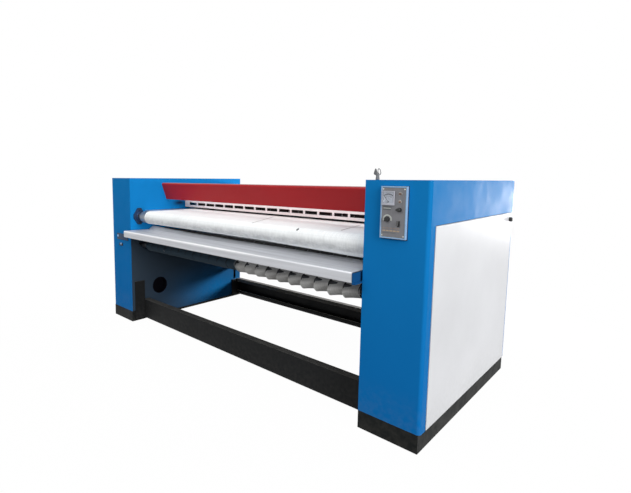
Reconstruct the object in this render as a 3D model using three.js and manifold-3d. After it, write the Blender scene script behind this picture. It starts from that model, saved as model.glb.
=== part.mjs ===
// Flatwork ironer with one ironing drum. Millimetres, +Z up, X along the machine.
// The operator stands in front, at -Y; left and right are the operator's.
import * as THREE from 'three';
import Module from 'manifold-3d';
import { mergeVertices } from 'three/addons/utils/BufferGeometryUtils.js';

const wasm = await Module();
wasm.setup();

// ---- driving dimensions -------------------------------------------------------------
const machineLength = 2990;
const machineHeight = 1300;
const cabinetWidth = 330;
const cabinetDepth = 1340;
const plinthHeight = 95;
const sheet = 3;                 // cabinet sheet
const gap = 0.3;                 // fit between two parts that touch
const cornerRadius = 18;         // outer vertical edges of the cabinets

const xOut = machineLength / 2;          // outer face of a cabinet
const xIn = xOut - cabinetWidth;         // face towards the drum

const trayFront = -75;           // the outfeed tray stands out in front of the cabinets
const rearMost = cabinetDepth + 20;      // pipe end and gland behind the cabinets
const middleY = (trayFront + rearMost) / 2;

// plinths and beams
const plinthInset = 8;
const plinthBar = 40;
const plinthPlate = 4;
const plinthToe = 120;           // front piece that is seen beside the inner panel
const panelFoot = 22;            // the inner panels end this far above the floor
const beamFrontY = 115;
const beamDepth = 60;
const beamBottom = 22;
const beamTop = 190;
const beamWall = 8;
const gusset = { thick: 14, front: 30, back: 124, top: 365 };
const rearBeam = {
  back: cabinetDepth, depth: 50, bottom: 24, top: 193, plate: 125, plateIn: 5, plateLow: 6, plateDrop: 3,
};

// door in the outer side of each cabinet
const door = {
  front: 68, back: cabinetDepth - 33, bottom: plinthHeight + 2, top: machineHeight - 211,
  deep: 20, proud: 2, skin: 2,
};
const doorGap = 4;
const hingePin = { radius: 3, fromFront: 6, inset: 4, seat: 8 };
const lock = { y: door.back - 54, z: door.top - 41, knob: 15, proud: 14, shaft: 8, cam: 68 };

// side frames and the plane of the chains outside them
const frameInset = 30;
const frameThick = 12;
const frameIn = xIn + frameInset;
const frameOut = frameIn + frameThick;
const frameEdge = { in: 45, down: 70 };
const chain = { standoff: 97, wide: 10, thick: 9 };
chain.inner = frameOut + chain.standoff;
chain.outer = chain.inner + chain.wide;
const driveX = chain.inner - 9;

// heights of the two working surfaces, below the top of the cabinets
const apronDown = 287;
const trayDown = 460;
const apronTop = machineHeight - apronDown;

// ironing drum and the rollers, as (y, z) in the side view
const drumRoom = 60;              // from a cabinet's inner face to the drum
const drumFromBack = 490;
const drumDown = 243;             // below the apron's top
const drum = {
  y: cabinetDepth - drumFromBack, z: apronTop - drumDown, radius: 300, wall: 8, disc: 12,
  half: xIn - drumRoom, journal: 45, bore: 15,
};
const journalEnd = chain.outer + 16;
const belt = { thick: 2.5, clear: 0.8, half: drum.half - 5, pitch: 97, slot: 7 };
const guideShaft = 12;
const guideHalf = drum.half + 5;
const guidePlace = {              // behind and above the drum's centre
  entry: [-184, 278], delivery: [-575, 55], lower_rear: [360, -418], upper_rear: [360, 380],
};
const lowerFront = { y: 100, down: 64 };
const guideRadius = { entry: 28, delivery: 28, lower_front: 24, lower_rear: 26, upper_rear: 26 };
const guide = (name) => ({
  y: drum.y + guidePlace[name][0], z: drum.z + guidePlace[name][1], radius: guideRadius[name],
});
const guideRollers = {
  entry: guide('entry'),
  delivery: guide('delivery'),
  lower_front: { y: lowerFront.y, z: drum.z - lowerFront.down, radius: guideRadius.lower_front },
  lower_rear: guide('lower_rear'),
  upper_rear: guide('upper_rear'),
};
const beltSplit = { front: 60, back: 115, down: 106, up: 106 };      // round the lower front roller

// windows of the side frames
const frameWindows = [
  { y: 200, wide: 290, z: 180, tall: 420 },
  { y: 330, wide: 150, z: apronTop + 17, tall: 150 },
  { y: drum.y + 110, wide: 160, z: drum.z + 190, tall: 200 },
];

// feed table
const flange = { halfY: 56, halfZ: 74, boltY: 41, boltZ: 58, hub: 38, bolt: 8 };
const flangeDepth = {             // the right-hand one lies close behind the apron's edge
  left: { plate: 14, hub: 34, bolt: 20 },
  right: { plate: 10, hub: 14, bolt: 14 },
};
const rollerRoom = { left: 66, right: 2 };     // from a bearing's hub to the rollers' ends
const apronRoom = { left: 151, right: 3 };     // and to the apron's edge
const rollerEnd = {
  left: -(xIn - flangeDepth.left.hub - rollerRoom.left),
  right: xIn - flangeDepth.right.hub - rollerRoom.right,
};
const apron = {
  thick: 2.5,
  left: -(xIn - flangeDepth.left.hub - apronRoom.left),
  right: xIn - flangeDepth.right.hub - apronRoom.right,
};
const frontFeed = { y: 87, radius: 50.5, shaft: 26 };
const rearFeed = { y: drum.y - 277, radius: 28, shaft: 12 };
frontFeed.z = apronTop - apron.thick - gap - frontFeed.radius;
rearFeed.z = apronTop - apron.thick - gap - rearFeed.radius;
const bedRoom = { front: 63, back: 38 };       // from the two rollers' centres
const bed = { front: frontFeed.y + bedRoom.front, back: rearFeed.y - bedRoom.back, deep: 30, wall: 2.5 };

// hood, guard, tray
const hoodOver = 92;              // above the apron's top
const hoodDown = 41;              // below the cabinets' top
const hoodIn = 61;                // in front of the cabinets' back
const hood = {
  thick: 2.5, front: 332.5, lean: 49.5, lip: 17, lipRise: 3, low: apronTop + hoodOver,
  top: machineHeight - hoodDown, back: cabinetDepth - hoodIn, rearTall: 109,
};
hood.lowFront = hood.front + hood.lean;
hood.rearLow = hood.top - hood.rearTall;
const hoodFrontBend = [[0, 15], [1.5, 7], [8.5, 2], [19.5, 0]];      // back from the front, down from the top
const hoodRearBend = [[17, 16], [5, 21], [0, 31]];                   // in from the back, down from the top
const coverUp = 65;               // how far the rear cover reaches up inside the hood
const cover = { front: hood.back + sheet, thick: 2.5, low: 430, top: hood.rearLow + coverUp, foot: 18 };
const guardOver = 13;             // above the apron's top
const guard = { y: drum.y - 260, thick: 5, bottom: apronTop + guardOver, slotUp: 20, slotTall: 24, tall: 72 };
guard.slotLow = guard.bottom + guard.slotUp;
guard.slotHigh = guard.slotLow + guard.slotTall;
guard.top = guard.bottom + guard.tall;
const guardEnd = 14;              // from a cabinet's inner face to the guard
const guardPitch = 128;
const guardPost = 16;
const trayRoom = 18;              // from a cabinet's inner face to the tray
const trayToRoller = 99;          // from the end of its flat to the delivery roller
const tray = {
  half: xIn - trayRoom, thick: 2.5, top: machineHeight - trayDown, deep: 56,
  flatBack: guideRollers.delivery.y - trayToRoller, fall: 4,
};
tray.low = tray.top - tray.deep;
const trayHem = [[23, 1], [4, 0], [0.5, 4]];              // back from the front, up from the low edge
const trayNose = [[0, 8], [2, 2], [9, 0]];                // back from the front, down from the top
const trayStep = [[40, 26], [46, 28], [60, 27], [61, 10]]; // back and up from the end of the flat
const bracket = { plate: 5, armThick: 8, tabReach: 44, tall: 57, in: 11, boltUp: 19, boltDown: 15, boltIn: 18 };
bracket.back = tray.flatBack - bracket.in;
bracket.low = tray.low - bracket.armThick;
bracket.top = bracket.low + bracket.tall;

// drive
const bigSprocket = 150;
const bigHub = 72;
const motorSprocketRadius = 42;
const motorHub = 24;
const feedSprocketRadius = 26;
const feedHub = 20;
const feedStub = 14;
const motor = {
  x: frameOut + 70, y: drum.y, z: 225, shaft: 14, down: 35, radius: 62, front: 80, back: 300,
  cowl: 66, cowlFront: 290, cowlBack: 350,
};
const gearCase = { half: 62, out: 60, room: 15, up: 70, lift: 15 };
const motorNeck = { radius: 36, in: 10, front: 60, back: 90 };
const motorFoot = { out: 48, thick: 16 };
const terminalBox = { half: 30, front: 130, back: 210, tall: 60 };
const motorStand = { half: 40, front: 110, back: 270, lift: 10, down: 60 };

// control box
const box = { x: xOut - 171, wide: 131, tall: 248, out: 16, wall: 3, rim: 6, recess: 2 };
box.x0 = box.x - box.wide / 2;
box.x1 = box.x + box.wide / 2;
box.z1 = machineHeight - 30;
box.z0 = box.z1 - box.tall;
const panelFace = -(box.out - box.recess);

// ---- solids -------------------------------------------------------------------------
const axisX = new THREE.Vector3(1, 0, 0);
const axisY = new THREE.Vector3(0, 1, 0);
const axisZ = new THREE.Vector3(0, 0, 1);

function signedVolume(geometry) {
  const p = geometry.attributes.position;
  const index = geometry.index;
  const a = new THREE.Vector3();
  const b = new THREE.Vector3();
  const c = new THREE.Vector3();
  let total = 0;
  for (let i = 0; i < index.count; i += 3) {
    a.fromBufferAttribute(p, index.getX(i));
    b.fromBufferAttribute(p, index.getX(i + 1));
    c.fromBufferAttribute(p, index.getX(i + 2));
    total += a.dot(b.cross(c));
  }
  return total;
}

function toManifold(geometry) {
  const bare = geometry.clone();
  bare.deleteAttribute('normal');
  bare.deleteAttribute('uv');
  const merged = mergeVertices(bare, 1e-4);
  const triangles = [];
  const flip = signedVolume(merged) < 0;
  const index = merged.index;
  for (let i = 0; i < index.count; i += 3) {
    const a = index.getX(i);
    const b = index.getX(i + 1);
    const c = index.getX(i + 2);
    if (a === b || b === c || c === a) continue;
    triangles.push(a, flip ? c : b, flip ? b : c);
  }
  return new wasm.Manifold(new wasm.Mesh({
    numProp: 3,
    vertProperties: new Float32Array(merged.attributes.position.array),
    triVerts: new Uint32Array(triangles),
  }));
}

function block(x0, x1, y0, y1, z0, z1) {
  const geometry = new THREE.BoxGeometry(x1 - x0, y1 - y0, z1 - z0);
  geometry.translate((x0 + x1) / 2, (y0 + y1) / 2, (z0 + z1) / 2);
  return toManifold(geometry);
}

// cylinder along X, Y or Z through the point (x, y, z) of its start
function rodX(radius, x0, x1, y, z, sides = 16) {
  const geometry = new THREE.CylinderGeometry(radius, radius, x1 - x0, sides);
  geometry.rotateZ(-Math.PI / 2);
  geometry.translate((x0 + x1) / 2, y, z);
  return toManifold(geometry);
}

function rodY(radius, x, y0, y1, z, sides = 16) {
  const geometry = new THREE.CylinderGeometry(radius, radius, y1 - y0, sides);
  geometry.translate(x, (y0 + y1) / 2, z);
  return toManifold(geometry);
}

function rodZ(radius, x, y, z0, z1, sides = 16) {
  const geometry = new THREE.CylinderGeometry(radius, radius, z1 - z0, sides);
  geometry.rotateX(Math.PI / 2);
  geometry.translate(x, y, (z0 + z1) / 2);
  return toManifold(geometry);
}

// outline in (y, z), pushed out along X
function prismX(outline, x0, x1, holes = []) {
  const shape = new THREE.Shape(outline.map(([y, z]) => new THREE.Vector2(y, z)));
  for (const hole of holes) {
    shape.holes.push(new THREE.Path(hole.map(([y, z]) => new THREE.Vector2(y, z))));
  }
  const geometry = new THREE.ExtrudeGeometry(shape, { depth: x1 - x0, bevelEnabled: false });
  geometry.applyMatrix4(new THREE.Matrix4().makeBasis(axisY, axisZ, axisX));
  geometry.translate(x0, 0, 0);
  return toManifold(geometry);
}

// outline in (x, y), pushed up along Z
function prismZ(outline, z0, z1) {
  const shape = new THREE.Shape(outline.map(([x, y]) => new THREE.Vector2(x, y)));
  const geometry = new THREE.ExtrudeGeometry(shape, { depth: z1 - z0, bevelEnabled: false });
  geometry.translate(0, 0, z0);
  return toManifold(geometry);
}

// profile of (radius, x) turned about an axis along X through (y, z)
function turned(profile, y, z, sides) {
  const points = profile.map(([radius, x]) => new THREE.Vector2(radius, x));
  const geometry = new THREE.LatheGeometry(points, sides);
  geometry.rotateZ(-Math.PI / 2);
  geometry.translate(0, y, z);
  return toManifold(geometry);
}

function plan(x0, x1, y0, y1, radius, steps = 4) {
  const outline = [];
  const corners = [[x1 - radius, y0 + radius, -90], [x1 - radius, y1 - radius, 0],
    [x0 + radius, y1 - radius, 90], [x0 + radius, y0 + radius, 180]];
  for (const [cx, cy, start] of corners) {
    for (let i = 0; i <= steps; i += 1) {
      const angle = THREE.MathUtils.degToRad(start + (90 * i) / steps);
      outline.push([cx + radius * Math.cos(angle), cy + radius * Math.sin(angle)]);
    }
  }
  return outline;
}

// a bent sheet: the open line of (y, z) points is its outer face, thickness goes to the left
function bentSheet(line, thick, x0, x1) {
  const inner = line.map((point, i) => {
    const before = line[Math.max(i - 1, 0)];
    const after = line[Math.min(i + 1, line.length - 1)];
    const sides = [];
    for (const [a, b] of [[before, point], [point, after]]) {
      const length = Math.hypot(b[0] - a[0], b[1] - a[1]);
      if (length > 0) sides.push([-(b[1] - a[1]) / length, (b[0] - a[0]) / length]);
    }
    const n = sides.reduce((s, v) => [s[0] + v[0], s[1] + v[1]], [0, 0]);
    const size = Math.hypot(n[0], n[1]);
    const unit = [n[0] / size, n[1] / size];
    const reach = thick / (unit[0] * sides[0][0] + unit[1] * sides[0][1]);
    return [point[0] + unit[0] * reach, point[1] + unit[1] * reach];
  });
  return prismX([...line, ...inner.reverse()], x0, x1);
}

// closed line round a row of circles; turn is +1 for anticlockwise, -1 for clockwise
function wrapLine(circles, offset, step) {
  const n = circles.length;
  const size = (c) => c.radius + (c.turn > 0 ? offset : c.band - offset);
  const normals = circles.map((c, i) => {
    const next = circles[(i + 1) % n];
    const dy = next.y - c.y;
    const dz = next.z - c.z;
    const k = (next.turn * size(next) - c.turn * size(c)) / Math.hypot(dy, dz);
    return Math.atan2(dz, dy) + Math.acos(k);
  });
  const line = [];
  circles.forEach((c, i) => {
    const flip = c.turn > 0 ? Math.PI : 0;
    const from = normals[(i + n - 1) % n] + flip;
    let sweep = (normals[i] + flip - from) * c.turn;
    while (sweep < 0) sweep += 2 * Math.PI;
    while (sweep > 2 * Math.PI) sweep -= 2 * Math.PI;
    const parts = Math.max(2, Math.ceil(THREE.MathUtils.radToDeg(sweep) / step(c)));
    const half = sweep / parts / 2;
    for (let j = 0; j < parts; j += 1) {
      const angle = from + c.turn * half * (2 * j + 1);
      const reach = size(c) / Math.cos(half);
      line.push([c.y + reach * Math.cos(angle), c.z + reach * Math.sin(angle)]);
    }
  });
  return line;
}

function band(circles, thick, x0, x1, step) {
  const ready = circles.map((c) => ({ ...c, band: thick }));
  return prismX(wrapLine(ready, thick, step), x0, x1, [wrapLine(ready, 0, step)]);
}

function join(...parts) {
  return parts.reduce((all, part) => all.add(part));
}

function cut(body, ...tools) {
  return tools.reduce((rest, tool) => rest.subtract(tool), body);
}

const mirror = (body) => body.mirror([1, 0, 0]);
const toSide = (side, body) => (side < 0 ? mirror(body) : body);
const sideName = (side) => (side < 0 ? 'left' : 'right');

// ---- nodes --------------------------------------------------------------------------
const paint = {
  blue: [0x1c62a4, 0.42, 0.0],
  white: [0xdadbdd, 0.45, 0.0],
  black: [0x1e2021, 0.6, 0.0],
  red: [0x922a2e, 0.4, 0.0],
  steel: [0xb9bdc1, 0.35, 0.85],
  darkSteel: [0x55585b, 0.5, 0.7],
  castGrey: [0x5b6066, 0.65, 0.2],
  canvasWhite: [0xf0f0f0, 0.9, 0.0],
  canvasGrey: [0x707070, 0.95, 0.0],
  boxGrey: [0xa6acb4, 0.45, 0.1],
  plateGrey: [0x8c8a8c, 0.5, 0.3],
  plasticBlack: [0x121314, 0.45, 0.0],
  dial: [0xd9d9de, 0.4, 0.0],
  amber: [0x7a4a3c, 0.3, 0.0],
  glass: [0xe6eef2, 0.08, 0.0],
  brass: [0xb08d4a, 0.35, 0.9],
};

const machine = new THREE.Group();
machine.name = 'flatwork_ironer';
const groups = {};
for (const name of ['frame', 'cabinets', 'feed', 'ironing', 'drive', 'outfeed', 'controls']) {
  groups[name] = new THREE.Group();
  groups[name].name = name;
  machine.add(groups[name]);
}

function node(group, name, body, [color, roughness, metalness], origin = [0, 0, 0]) {
  const mesh = body.getMesh();
  const positions = new Float32Array(mesh.vertProperties.length);
  for (let i = 0; i < positions.length; i += 1) {
    positions[i] = mesh.vertProperties[i] - origin[i % 3];
  }
  let geometry = new THREE.BufferGeometry();
  geometry.setAttribute('position', new THREE.BufferAttribute(positions, 3));
  geometry.setIndex(new THREE.BufferAttribute(new Uint32Array(mesh.triVerts), 1));
  geometry = geometry.toNonIndexed();
  geometry.computeVertexNormals();
  const material = new THREE.MeshStandardMaterial({ color, roughness, metalness });
  const item = new THREE.Mesh(geometry, material);
  item.name = name;
  item.position.set(...origin);
  groups[group].add(item);
}

// ---- frame --------------------------------------------------------------------------
// the door's hinge rod stands in a lug on the plinth and in another one inside the casing
function hingeLug(z0, z1) {
  return block(xOut - 20, xOut - 0.5, door.front - 2, door.front + 16, z0, z1);
}

function hingeHole(z0, z1) {
  return rodZ(hingePin.radius + gap, xOut - hingePin.inset, door.front + hingePin.fromFront, z0, z1, 12);
}

function plinth() {
  const toe = block(xIn, xOut - plinthInset, 0, plinthToe, 0, plinthHeight);
  const rest = block(xIn + sheet + gap, xOut - plinthInset, plinthToe - 1, cabinetDepth, 0, plinthHeight);
  const hollow = block(xIn + plinthBar, xOut - plinthInset - plinthBar, plinthBar,
    cabinetDepth - plinthBar, -1, plinthHeight - plinthPlate);
  const lug = hingeLug(plinthHeight - hingePin.seat, plinthHeight);
  return cut(join(toe, rest, lug), hollow, hingeHole(plinthHeight - 5, plinthHeight + 1));
}

function frontBeam() {
  const half = xIn - gap;
  const web = block(-half, half, beamFrontY, beamFrontY + beamWall, beamBottom, beamTop);
  const top = block(-half, half, beamFrontY, beamFrontY + beamDepth, beamTop - beamWall, beamTop);
  const low = block(-half, half, beamFrontY, beamFrontY + beamDepth, beamBottom, beamBottom + beamWall);
  const ends = [-1, 1].map((side) => toSide(side, block(half - gusset.thick, half,
    gusset.front, gusset.back, beamBottom, gusset.top)));
  return join(web, top, low, ...ends);
}

function backBeam() {
  const half = xIn - gap;
  const r = rearBeam;
  const web = block(-half, half, r.back - beamWall, r.back, r.bottom, r.top);
  const top = block(-half, half, r.back - r.depth, r.back, r.top - beamWall, r.top);
  const low = block(-half, half, r.back - r.depth, r.back, r.bottom, r.bottom + beamWall);
  const ends = [-1, 1].map((side) => toSide(side, block(half - gusset.thick, half,
    r.back - r.plate, r.back - r.plateIn, r.bottom - r.plateLow, r.top - r.plateDrop)));
  return join(web, top, low, ...ends);
}

// ---- cabinets -----------------------------------------------------------------------
function casing(side) {
  const shell = prismZ(plan(xIn, xOut, 0, cabinetDepth, cornerRadius), plinthHeight + gap, machineHeight);
  const inside = prismZ(plan(xIn - 40, xOut - sheet, sheet, cabinetDepth - sheet, cornerRadius - sheet),
    plinthHeight - 1, machineHeight - sheet);
  const square = block(xIn, xIn + cornerRadius + 2, 0, cabinetDepth, plinthHeight + gap, machineHeight);
  const opening = block(xOut - sheet - 1, xOut + 1, door.front - doorGap, door.back + doorGap - 1,
    plinthHeight - 1, door.top + doorGap - 1);
  const lugFoot = door.top + doorGap - 1;
  const lug = hingeLug(lugFoot, lugFoot + hingePin.seat);
  let body = cut(join(cut(join(shell, square), inside, opening), lug), hingeHole(lugFoot - 1, lugFoot + 6));
  if (side > 0) {
    body = cut(body, rodZ(5.6, wing.x, wing.y, machineHeight - 10, machineHeight + 10),
      rodY(10.6, gland.x, cabinetDepth - 20, cabinetDepth + 10, gland.z));
  } else {
    body = cut(body, rodY(pipe.radius + 3, pipe.x, cabinetDepth - 20, cabinetDepth + 10, pipe.z));
  }
  return toSide(side, body);
}

const port = { y: 294, z: 291, radius: 78, deep: 60, wall: 4 };
const slot = { y: cabinetDepth - 83, half: 16, low: 200, high: 300 };
const wing = { x: xIn + 42, y: 40, stem: 5, hub: 9, top: 72 };
const gland = { x: xOut - 95, z: 250 };
const pipe = { x: journalEnd + 49, z: drum.z, radius: 14 };

function shaftHoles(x0, x1, radius, drumRadius) {
  const holes = Object.values(guideRollers).map((r) => rodX(radius, x0, x1, r.y, r.z));
  holes.push(rodX(radius, x0, x1, rearFeed.y, rearFeed.z));
  holes.push(rodX(frontFeed.shaft + 4, x0, x1, frontFeed.y, frontFeed.z));
  holes.push(rodX(drumRadius, x0, x1, drum.y, drum.z, 24));
  return holes;
}

function innerPanel(side) {
  const body = block(xIn, xIn + sheet, sheet + gap, cabinetDepth - sheet - gap, panelFoot,
    machineHeight - sheet - gap);
  const x0 = xIn - 1;
  const x1 = xIn + sheet + 1;
  const notch = block(x0, x1, 0, plinthToe + gap, 0, plinthHeight + gap);
  const slotHole = block(x0, x1, slot.y - slot.half, slot.y + slot.half, slot.low, slot.high);
  const holes = shaftHoles(x0, x1, guideShaft + 5, drum.journal + 7);
  if (side < 0) holes.push(rodX(port.radius + gap, x0, x1, port.y, port.z, 24));
  return toSide(side, cut(body, notch, slotHole, ...holes));
}

function portCup() {
  const outer = rodX(port.radius, xIn, xIn + port.deep, port.y, port.z, 24);
  const inner = rodX(port.radius - port.wall, xIn - 1, xIn + port.deep - port.wall, port.y, port.z, 24);
  return mirror(cut(outer, inner));
}

function sideFrame() {
  const edge = frameEdge;
  const body = block(frameIn, frameOut, edge.in, cabinetDepth - edge.in, plinthHeight + gap,
    machineHeight - edge.down);
  const x0 = frameIn - 1;
  const x1 = frameOut + 1;
  const windows = frameWindows.map((w) => block(x0, x1, w.y, w.y + w.wide, w.z, w.z + w.tall));
  return cut(body, ...windows, ...shaftHoles(x0, x1, guideShaft + 0.4, drum.journal + 1));
}

function sideDoor() {
  const d = door;
  const body = block(xOut - d.deep, xOut + d.proud, d.front, d.back, d.bottom, d.top);
  const hollow = block(xOut - d.deep - 1, xOut + d.proud - d.skin, d.front + d.skin, d.back - d.skin,
    d.bottom + d.skin, d.top - d.skin);
  const pin = rodZ(hingePin.radius + 0.4, xOut - hingePin.inset, d.front + hingePin.fromFront,
    d.bottom - 5, d.top + 5, 12);
  const lockHole = rodX(lock.shaft + 0.5, xOut - 5, xOut + 5, lock.y, lock.z, 12);
  const camSlot = block(xOut - d.deep - 1, xOut - 1, d.back - d.skin - 1, d.back + 1, lock.z - 74, lock.z + 14);
  return cut(body, hollow, pin, lockHole, camSlot);
}

function hingeRod() {
  return rodZ(hingePin.radius, xOut - hingePin.inset, door.front + hingePin.fromFront,
    plinthHeight - 5 + gap, door.top + doorGap + 5 - gap, 12);
}

// the cam hangs down at rest and reaches behind the casing after a quarter turn
function doorLock() {
  const face = xOut + door.proud;
  const knob = rodX(lock.knob, face + gap, face + lock.proud, lock.y, lock.z, 20);
  const shaft = rodX(lock.shaft, xOut - 9, face + 1, lock.y, lock.z, 12);
  const cam = block(xOut - 8.5, xOut - 4.5, lock.y - 7, lock.y + 7, lock.z - lock.cam, lock.z);
  const grip = block(face + lock.proud - 1, face + lock.proud + 5, lock.y - 3, lock.y + 3,
    lock.z - 12, lock.z + 12);
  return join(knob, shaft, cam, grip);
}

// ---- feed table ---------------------------------------------------------------------
function roller(spec, x0, x1, shaft, s0, s1, sides = 20) {
  return turned([[0, s0], [shaft, s0], [shaft, x0], [spec.radius, x0], [spec.radius, x1],
    [shaft, x1], [shaft, s1], [0, s1]], spec.y, spec.z, sides);
}

function feedBed() {
  const top = apronTop - apron.thick - gap;
  const half = xIn - gap;
  const body = block(-half, half, bed.front, bed.back, top - bed.deep, top);
  const hollow = block(-half + 6, half - 6, bed.front + bed.wall, bed.back - bed.wall,
    top - bed.deep - 1, top - bed.wall);
  return cut(body, hollow);
}

function feedApron() {
  const circles = [frontFeed, rearFeed].map((r) => ({ ...r, radius: r.radius + gap, turn: 1 }));
  return band(circles, apron.thick, apron.left, apron.right, () => 20);
}

function flangeBearing(side) {
  const f = flange;
  const deep = flangeDepth[sideName(side)];
  const face = xIn - gap;
  const outline = [];
  const corners = [[0, 1], [-1, 0], [0, -1], [1, 0]];
  for (const [cy, cz] of corners) {
    for (const turn of [-1, 1]) {
      outline.push([frontFeed.y + cy * f.halfY + turn * cz * -16 + 0,
        frontFeed.z + cz * f.halfZ + turn * cy * 16]);
    }
  }
  const plate = prismX(outline, face - deep.plate, face);
  const hub = rodX(f.hub, face - deep.hub, face - 1, frontFeed.y, frontFeed.z, 20);
  const bolts = corners.map(([cy, cz]) => rodX(f.bolt, face - deep.bolt, face - 1,
    frontFeed.y + cy * f.boltY, frontFeed.z + cz * f.boltZ, 6));
  const bore = rodX(frontFeed.shaft + 0.6, face - 60, face + 5, frontFeed.y, frontFeed.z, 20);
  return cut(join(plate, hub, ...bolts), bore);
}

// ---- hood and guard -----------------------------------------------------------------
function redHood() {
  const h = hood;
  const line = [[h.lowFront + h.lip, h.low + h.lipRise], [h.lowFront, h.low],
    ...hoodFrontBend.map(([inward, down]) => [h.front + inward, h.top - down]),
    ...hoodRearBend.map(([inward, down]) => [h.back - inward, h.top - down]), [h.back, h.rearLow]];
  return bentSheet(line.reverse(), h.thick, -(xIn - gap), xIn - gap);
}

function frontFeedRoller() {
  const body = roller(frontFeed, rollerEnd.left, rollerEnd.right, frontFeed.shaft, -(chain.inner - 30),
    frameOut - 2, 24);
  const stub = rodX(feedStub, -(chain.outer + 3), -(chain.inner - 31), frontFeed.y, frontFeed.z, 16);
  return join(body, stub);
}

function rearCover() {
  const half = xIn - gap;
  const c = cover;
  const sheetBody = block(-half, half, c.front, c.front + c.thick, c.low, c.top);
  const foot = block(-half, half, c.front, c.front + c.foot, c.low, c.low + c.thick);
  return join(sheetBody, foot);
}

function fingerGuard() {
  const half = xIn - guardEnd;
  const g = guard;
  const body = block(-half, half, g.y - g.thick / 2, g.y + g.thick / 2, g.bottom, g.top);
  const slots = [];
  const count = Math.floor((2 * half - 20) / guardPitch);
  const start = -(count * guardPitch) / 2;
  for (let i = 0; i < count; i += 1) {
    const x0 = start + i * guardPitch + guardPost / 2;
    slots.push(block(x0, x0 + guardPitch - guardPost, g.y - 10, g.y + 10, g.slotLow, g.slotHigh));
  }
  const pins = [-1, 1].map((side) => toSide(side, rodX(5, half - 10, xIn - gap, g.y, g.top - 8, 12)));
  const lugs = [-1, 1].map((side) => toSide(side, block(half - 10, half, g.y - 6, g.y + 6,
    g.top - 16, g.top)));
  return join(cut(body, ...slots), ...lugs, ...pins);
}

// ---- ironing ------------------------------------------------------------------------
function ironingDrum() {
  const d = drum;
  const inner = d.radius - d.wall;
  const e = d.half;
  return turned([[d.bore, -journalEnd], [d.journal, -journalEnd], [d.journal, -e], [d.radius, -e],
    [d.radius, e], [d.journal, e], [d.journal, journalEnd], [d.bore, journalEnd],
    [d.bore, e - d.disc], [inner, e - d.disc], [inner, -e + d.disc], [d.bore, -e + d.disc],
    [d.bore, -journalEnd]], d.y, d.z, 36);
}

function drumBearing() {
  const x0 = frameOut + gap;
  const x1 = x0 + 50;
  const base = block(x0, x0 + 18, drum.y - 95, drum.y + 95, drum.z - 95, drum.z + 95);
  const hub = rodX(78, x0 + 10, x1, drum.y, drum.z, 24);
  const bolts = [[-1, -1], [1, -1], [1, 1], [-1, 1]].map(([a, b]) => rodX(10, x0 + 10, x0 + 28,
    drum.y + a * 76, drum.z + b * 76, 6));
  const bore = rodX(drum.journal + 0.7, x0 - 5, x1 + 5, drum.y, drum.z, 24);
  return cut(join(base, hub, ...bolts), bore);
}

function ironingBelts() {
  const g = guideRollers;
  const order = [{ ...g.entry, turn: 1 }, { ...drum, turn: -1 }, { ...g.delivery, turn: 1 },
    { ...g.lower_front, turn: 1 }, { ...g.lower_rear, turn: 1 }, { ...g.upper_rear, turn: 1 }];
  const circles = order.map((c) => ({
    y: c.y, z: c.z, turn: c.turn, radius: c.radius + (c.turn > 0 ? 1.2 : belt.clear),
  }));
  const step = (c) => (c.turn < 0 ? 14 : 36);
  const body = band(circles, belt.thick, -belt.half, belt.half, step);
  const slots = [];
  const hang = g.lower_front;
  const count = Math.floor((2 * belt.half) / belt.pitch);
  const start = -(count * belt.pitch) / 2;
  for (let i = 1; i < count; i += 1) {
    const x = start + i * belt.pitch;
    slots.push(block(x - belt.slot / 2, x + belt.slot / 2, hang.y - beltSplit.front, hang.y + beltSplit.back,
      hang.z - beltSplit.down, hang.z + beltSplit.up));
  }
  return cut(body, ...slots);
}

function rotaryJoint() {
  const x0 = journalEnd + gap;
  const cup = turned([[0, x0 + 75], [26, x0 + 75], [26, x0], [11, x0], [11, x0 + 60], [0, x0 + 60]],
    drum.y, drum.z, 16);
  return mirror(cut(cup, rodY(pipe.radius + gap, pipe.x, drum.y + 12, drum.y + 40, pipe.z, 16)));
}

// the pipe's rear end is closed with a hexagon cap
function steamPipe() {
  const body = rodY(pipe.radius, pipe.x, drum.y + 12 + gap, cabinetDepth + 10, pipe.z, 16);
  const collar = rodY(pipe.radius + 10, pipe.x, cabinetDepth + gap, cabinetDepth + 6, pipe.z, 16);
  const endCap = rodY(pipe.radius + 5, pipe.x, cabinetDepth + 5, rearMost, pipe.z, 6);
  return mirror(join(body, collar, endCap));
}

// ---- drive --------------------------------------------------------------------------
function sprocket(radius, hub, bore, y, z) {
  const disc = rodX(radius, chain.inner, chain.outer, y, z, radius > 100 ? 32 : 20);
  const boss = rodX(hub, chain.inner - (radius > 100 ? 22 : 12), chain.outer - 1, y, z, 20);
  if (!bore) return join(disc, boss);
  return cut(join(disc, boss), rodX(bore, chain.inner - 109, chain.outer + 81, y, z, 24));
}

function chainLoop(a, ra, b, rb) {
  const circles = [{ y: a.y, z: a.z, radius: ra + 0.6, turn: 1 }, { y: b.y, z: b.z, radius: rb + 0.6, turn: 1 }];
  return band(circles, chain.thick, chain.inner, chain.outer, (c) => (c.radius > 100 ? 15 : 30));
}

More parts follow.
